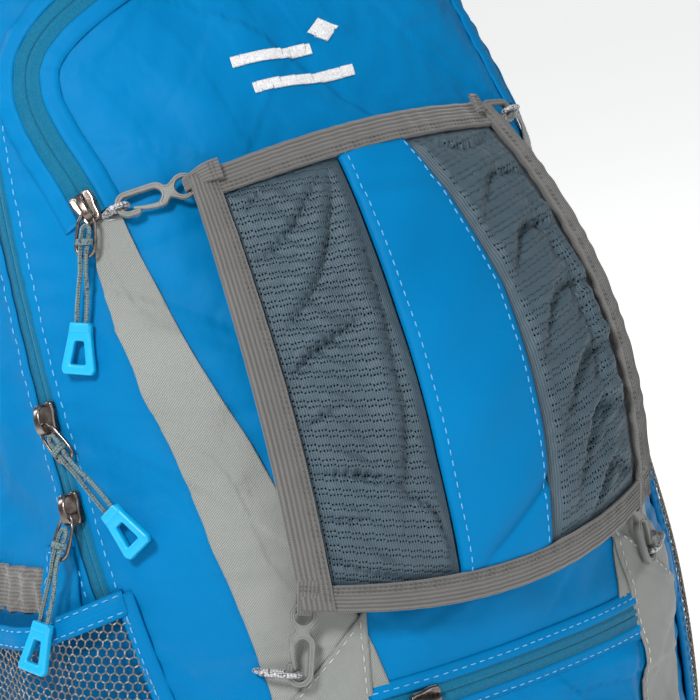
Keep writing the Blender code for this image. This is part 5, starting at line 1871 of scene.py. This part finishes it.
def shoulder_strap(side, sign):
    body = "shoulder_" + side
    path = smooth(mirrored(SHOULDER_ROUTE, sign), 0.006)
    across, normal = route_frame(path, SHOULDER_CENTRE)
    share = np.linspace(-1, 1, 13)
    half = (SHOULDER_WIDTH / 2 - 0.0022) * (1 - 0.10 * ease((np.linspace(0, 1, len(path)) - 0.6) / 0.4))
    ends = np.minimum(np.linspace(0, 1, len(path)), np.linspace(1, 0, len(path))) / 0.03
    full = np.clip(np.minimum(ends[:, None], (1 - np.abs(share))[None, :] / 0.30), 0, 1) ** 0.5
    flat = path[:, None] + across[:, None] * (half[:, None] * share[None, :])[..., None]
    lower = flat + normal[:, None] * (0.0042 - 0.0026 * full)[..., None]
    upper = flat + normal[:, None] * (0.0062 + 0.0030 * full)[..., None]
    foam, node_name = "shoulder_foam_" + side, "shoulder_pad_" + side
    padded(foam, node_name, lower, upper, body, SHOULDER_REACH_CAP)
    edging("shoulder_edging_" + side, lower, upper, 0.0020, body)
    lock_start, lock_end = mirrored(LOCK_ENDS, sign)
    web = smooth(mirrored(LOWER_WEBBING_ROUTE, sign), 0.003)
    web_side, web_normal = route_frame(web, SHOULDER_CENTRE)
    webbing("shoulder_web_" + side, "shoulder_webbing_" + side, web, web_side, web_normal, 0.025,
            WEBBING_THICKNESS, body, sewn=(0.9, 0.96))
    face = path[4:-1] + normal[4:-1] * 0.0112
    woven_band("shoulder_spine_" + side, face, across[4:-1], normal[4:-1], 0.020, 0.0012, body)
    joining = smooth(mirrored(LOCK_WEBBING_ROUTE, sign), 0.002)
    join_side, join_normal = route_frame(joining, SHOULDER_CENTRE)
    woven_band("shoulder_join_" + side, joining, join_side, join_normal, 0.024, 0.0014, body)
    ladder_lock(side, Vector(lock_start), Vector(lock_end), body)


def ladder_lock(side, start, end, body):
    matrix = frame_at((start + end) / 2, end - start, (0, 1, 0.3))
    half = (end - start).length / 2
    outline = arc(-half + 0.002, -0.014, 0.002, 180, 270, 6) + arc(half - 0.003, -0.013, 0.003, 270, 360, 6)
    outline += arc(half - 0.003, 0.013, 0.003, 0, 90, 6) + arc(-half + 0.002, 0.014, 0.002, 90, 180, 6)
    slots = []
    for low in (-half + 0.003, 0.0015):
        high = low + half - 0.0045
        slots.append(box(low, high, -0.0130, 0.0130))
    levels = rounded_levels(0.0042, 0.0010)
    lock = moulding("ladder_lock_body_" + side, [outline] + slots, levels, matrix, BUCKLE, body)
    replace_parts(lock, "ladder_lock_" + side)


def sternum_half(side, sign):
    at = Vector(mirrored([STERNUM_SEAT], sign)[0])
    upright = Matrix(((1, 0, 0, 0), (0, 0, 1, 0), (0, 1, 0, 0), (0, 0, 0, 1)))
    seat = Matrix.Translation(at) @ upright
    outlines = [box(-0.007, 0.007, -0.012, 0.012), box(-0.0045, 0.0045, -0.0085, -0.0060)]
    levels = rounded_levels(0.005, 0.0012)
    block = moulding("sternum_slide_" + side, outlines, levels, seat, BUCKLE, "sternum_rail_" + side)
    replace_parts(block, "sternum_adjuster_" + side)
    body = "sternum_strap_" + side
    knee = np.array(at) + (0, 0, -0.014)
    path = knee + np.column_stack([np.zeros(30), np.zeros(30), np.linspace(-0.001, -0.037, 30)])
    across, normal = np.tile((1.0, 0, 0), (30, 1)), np.tile((0, 1.0, 0), (30, 1))
    webbing("sternum_web_" + side, "sternum_webbing_" + side, path, across, normal, 0.019,
            WEBBING_THICKNESS, body, sewn=(0.1,))
    foot = Matrix.Translation(Vector(knee) + Vector((0, 0.0009, -0.0375))) @ upright
    if sign < 0:
        half = [(-0.012, 0), (-0.012, -0.007), (-0.0105, -0.010), (-0.0105, -0.017), (-0.012, -0.020),
                (-0.012, -0.026)]
        levels, node_name = ridged_levels(0.0075), "sternum_buckle_female"
    else:
        half = [(-0.012, 0), (-0.012, -0.010), (-0.0095, -0.012), (-0.0095, -0.027), (-0.006, -0.027),
                (-0.006, -0.014)]
        levels, node_name = rounded_levels(0.0045, 0.0008), "sternum_buckle_male"
    buckle = moulding("sternum_clip_" + side, [whole(half, -1, 1)], levels, foot, BUCKLE, body)
    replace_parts(buckle, node_name)


def ridged_levels(thickness):
    """Levels of a shell with rounded edges and a sunken panel inside a raised rim."""
    half = thickness / 2
    return [(0.0034, half - 0.0005), (0.0029, half - 0.0001), (0.0024, half), (0.0012, half),
            (0.0004, half - 0.0005), (0, half - 0.0014), (0, 0.0014 - half), (0.0004, 0.0005 - half),
            (0.0012, -half)]


def hip_half(side, sign):
    body = "hip_belt_" + side
    path = smooth(mirrored(HIP_ROUTE, sign), 0.003)
    run = unit(np.gradient(path, axis=0))
    normal = unit(np.cross(run, (0, 0, 1.0))) * -sign
    across = unit(np.cross(normal, run))
    webbing("hip_web_" + side, "hip_webbing_" + side, path, across, normal, 0.030, WEBBING_THICKNESS, body,
            sewn=(0.03, 0.06))
    face = Matrix(((1, 0, 0, 0), (0, 0, -1, 0), (0, 1, 0, 0), (0, 0, 0, 1)))
    matrix = Matrix.Translation((0, 0.1300, 0.020)) @ face
    if sign < 0:
        half = [(-0.0335, 0.0165), (-0.031, 0.018), (-0.024, 0.018), (-0.021, 0.0155), (-0.009, 0.0155),
                (-0.006, 0.018), (0.004, 0.018), (0.004, 0.0155)]
        outline, levels = whole(half, 1, -1), rounded_levels(0.0022, 0.0007)
        for number, height in enumerate((0.0044, -0.0044)):
            wall = matrix @ Matrix.Translation((0, 0, height))
            piece = moulding(f"hip_shell_{number}", [outline], levels, wall, BUCKLE, body)
            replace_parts(piece, "hip_buckle_female")
        root = box(-0.0335, -0.021, -0.0165, 0.0165)
        moulding("hip_shell_root", [root], rounded_levels(0.0108, 0.0008), matrix, BUCKLE, body)
        return
    upper = [(0.0335, 0.018), (0.005, 0.018), (0.005, 0.0145), (-0.016, 0.0145), (-0.018, 0.010),
             (-0.012, 0.009), (0.003, 0.010)]
    outlines = [whole(upper, 1, -1), box(0.024, 0.0275, -0.0145, 0.0145)]
    male = moulding("hip_prongs", outlines, rounded_levels(0.0055, 0.0010), matrix, BUCKLE, body)
    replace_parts(male, "hip_buckle_male")
    turn = box(0.0238, 0.0290, -0.0135, 0.0135)
    moulding("hip_web_turn", [turn], rounded_levels(0.0074, 0.0014), matrix, STRAP, body)


def haul():
    path = smooth(mirrored(HAUL_ROUTE, 1), 0.002)
    foot = (path[0] + path[-1]) / 2
    plane = unit(path[len(path) // 2] - foot)
    across = np.cross((1.0, 0, 0), plane)
    run = unit(np.gradient(path, axis=0))
    normal = unit(np.cross(across, run))
    side = np.tile(across, (len(path), 1))
    webbing("haul_webbing", "haul_loop", path, side, normal, 0.020, 0.0030, "haul_loop",
            sewn=(0.04, 0.08, 0.92, 0.96))


def root_tab(name, points, width):
    """Doubled webbing sewn flat to the bag, from which a strap leaves."""
    path = smooth(points, 0.002)
    run = unit(np.gradient(path, axis=0))
    side = np.tile((1.0, 0, 0), (len(path), 1))
    woven_band(name, path, side, unit(np.cross(side, run)), width, 0.0022, "bag")


SHOULDER_ROOT = ((46, 54, 398), (46, 53.5, 412), (46, 55, 424), (46, 63, 430))
HAUL_ROOT = ((34, 49, 428), (34, 46, 440), (34, 47, 448), (34, 53, 455))


def harness():
    for side, sign in SIDES:
        root_tab("shoulder_root_" + side, mirrored(SHOULDER_ROOT, sign), 0.052)
        root_tab("haul_root_" + side, mirrored(HAUL_ROOT, sign), 0.022)
    back_pad("back_pad_left", -0.082, -0.018, 0.112, 0.396)
    back_pad("back_pad_right", 0.018, 0.082, 0.112, 0.396)
    back_pad("lumbar_pad", -0.074, 0.074, 0.034, 0.106)
    haul()
    for side, sign in SIDES:
        shoulder_strap(side, sign)
        sternum_half(side, sign)
        hip_half(side, sign)


# ---------------------------------------------------------------- build

camera()
studio()
shells()
base()
grey_bands()
zips()
holder()
hooks()
pulls()
lower_pocket()
mark()
for pocket_side, pocket_sign in SIDES:
    side_pocket(pocket_side, pocket_sign)
harness()
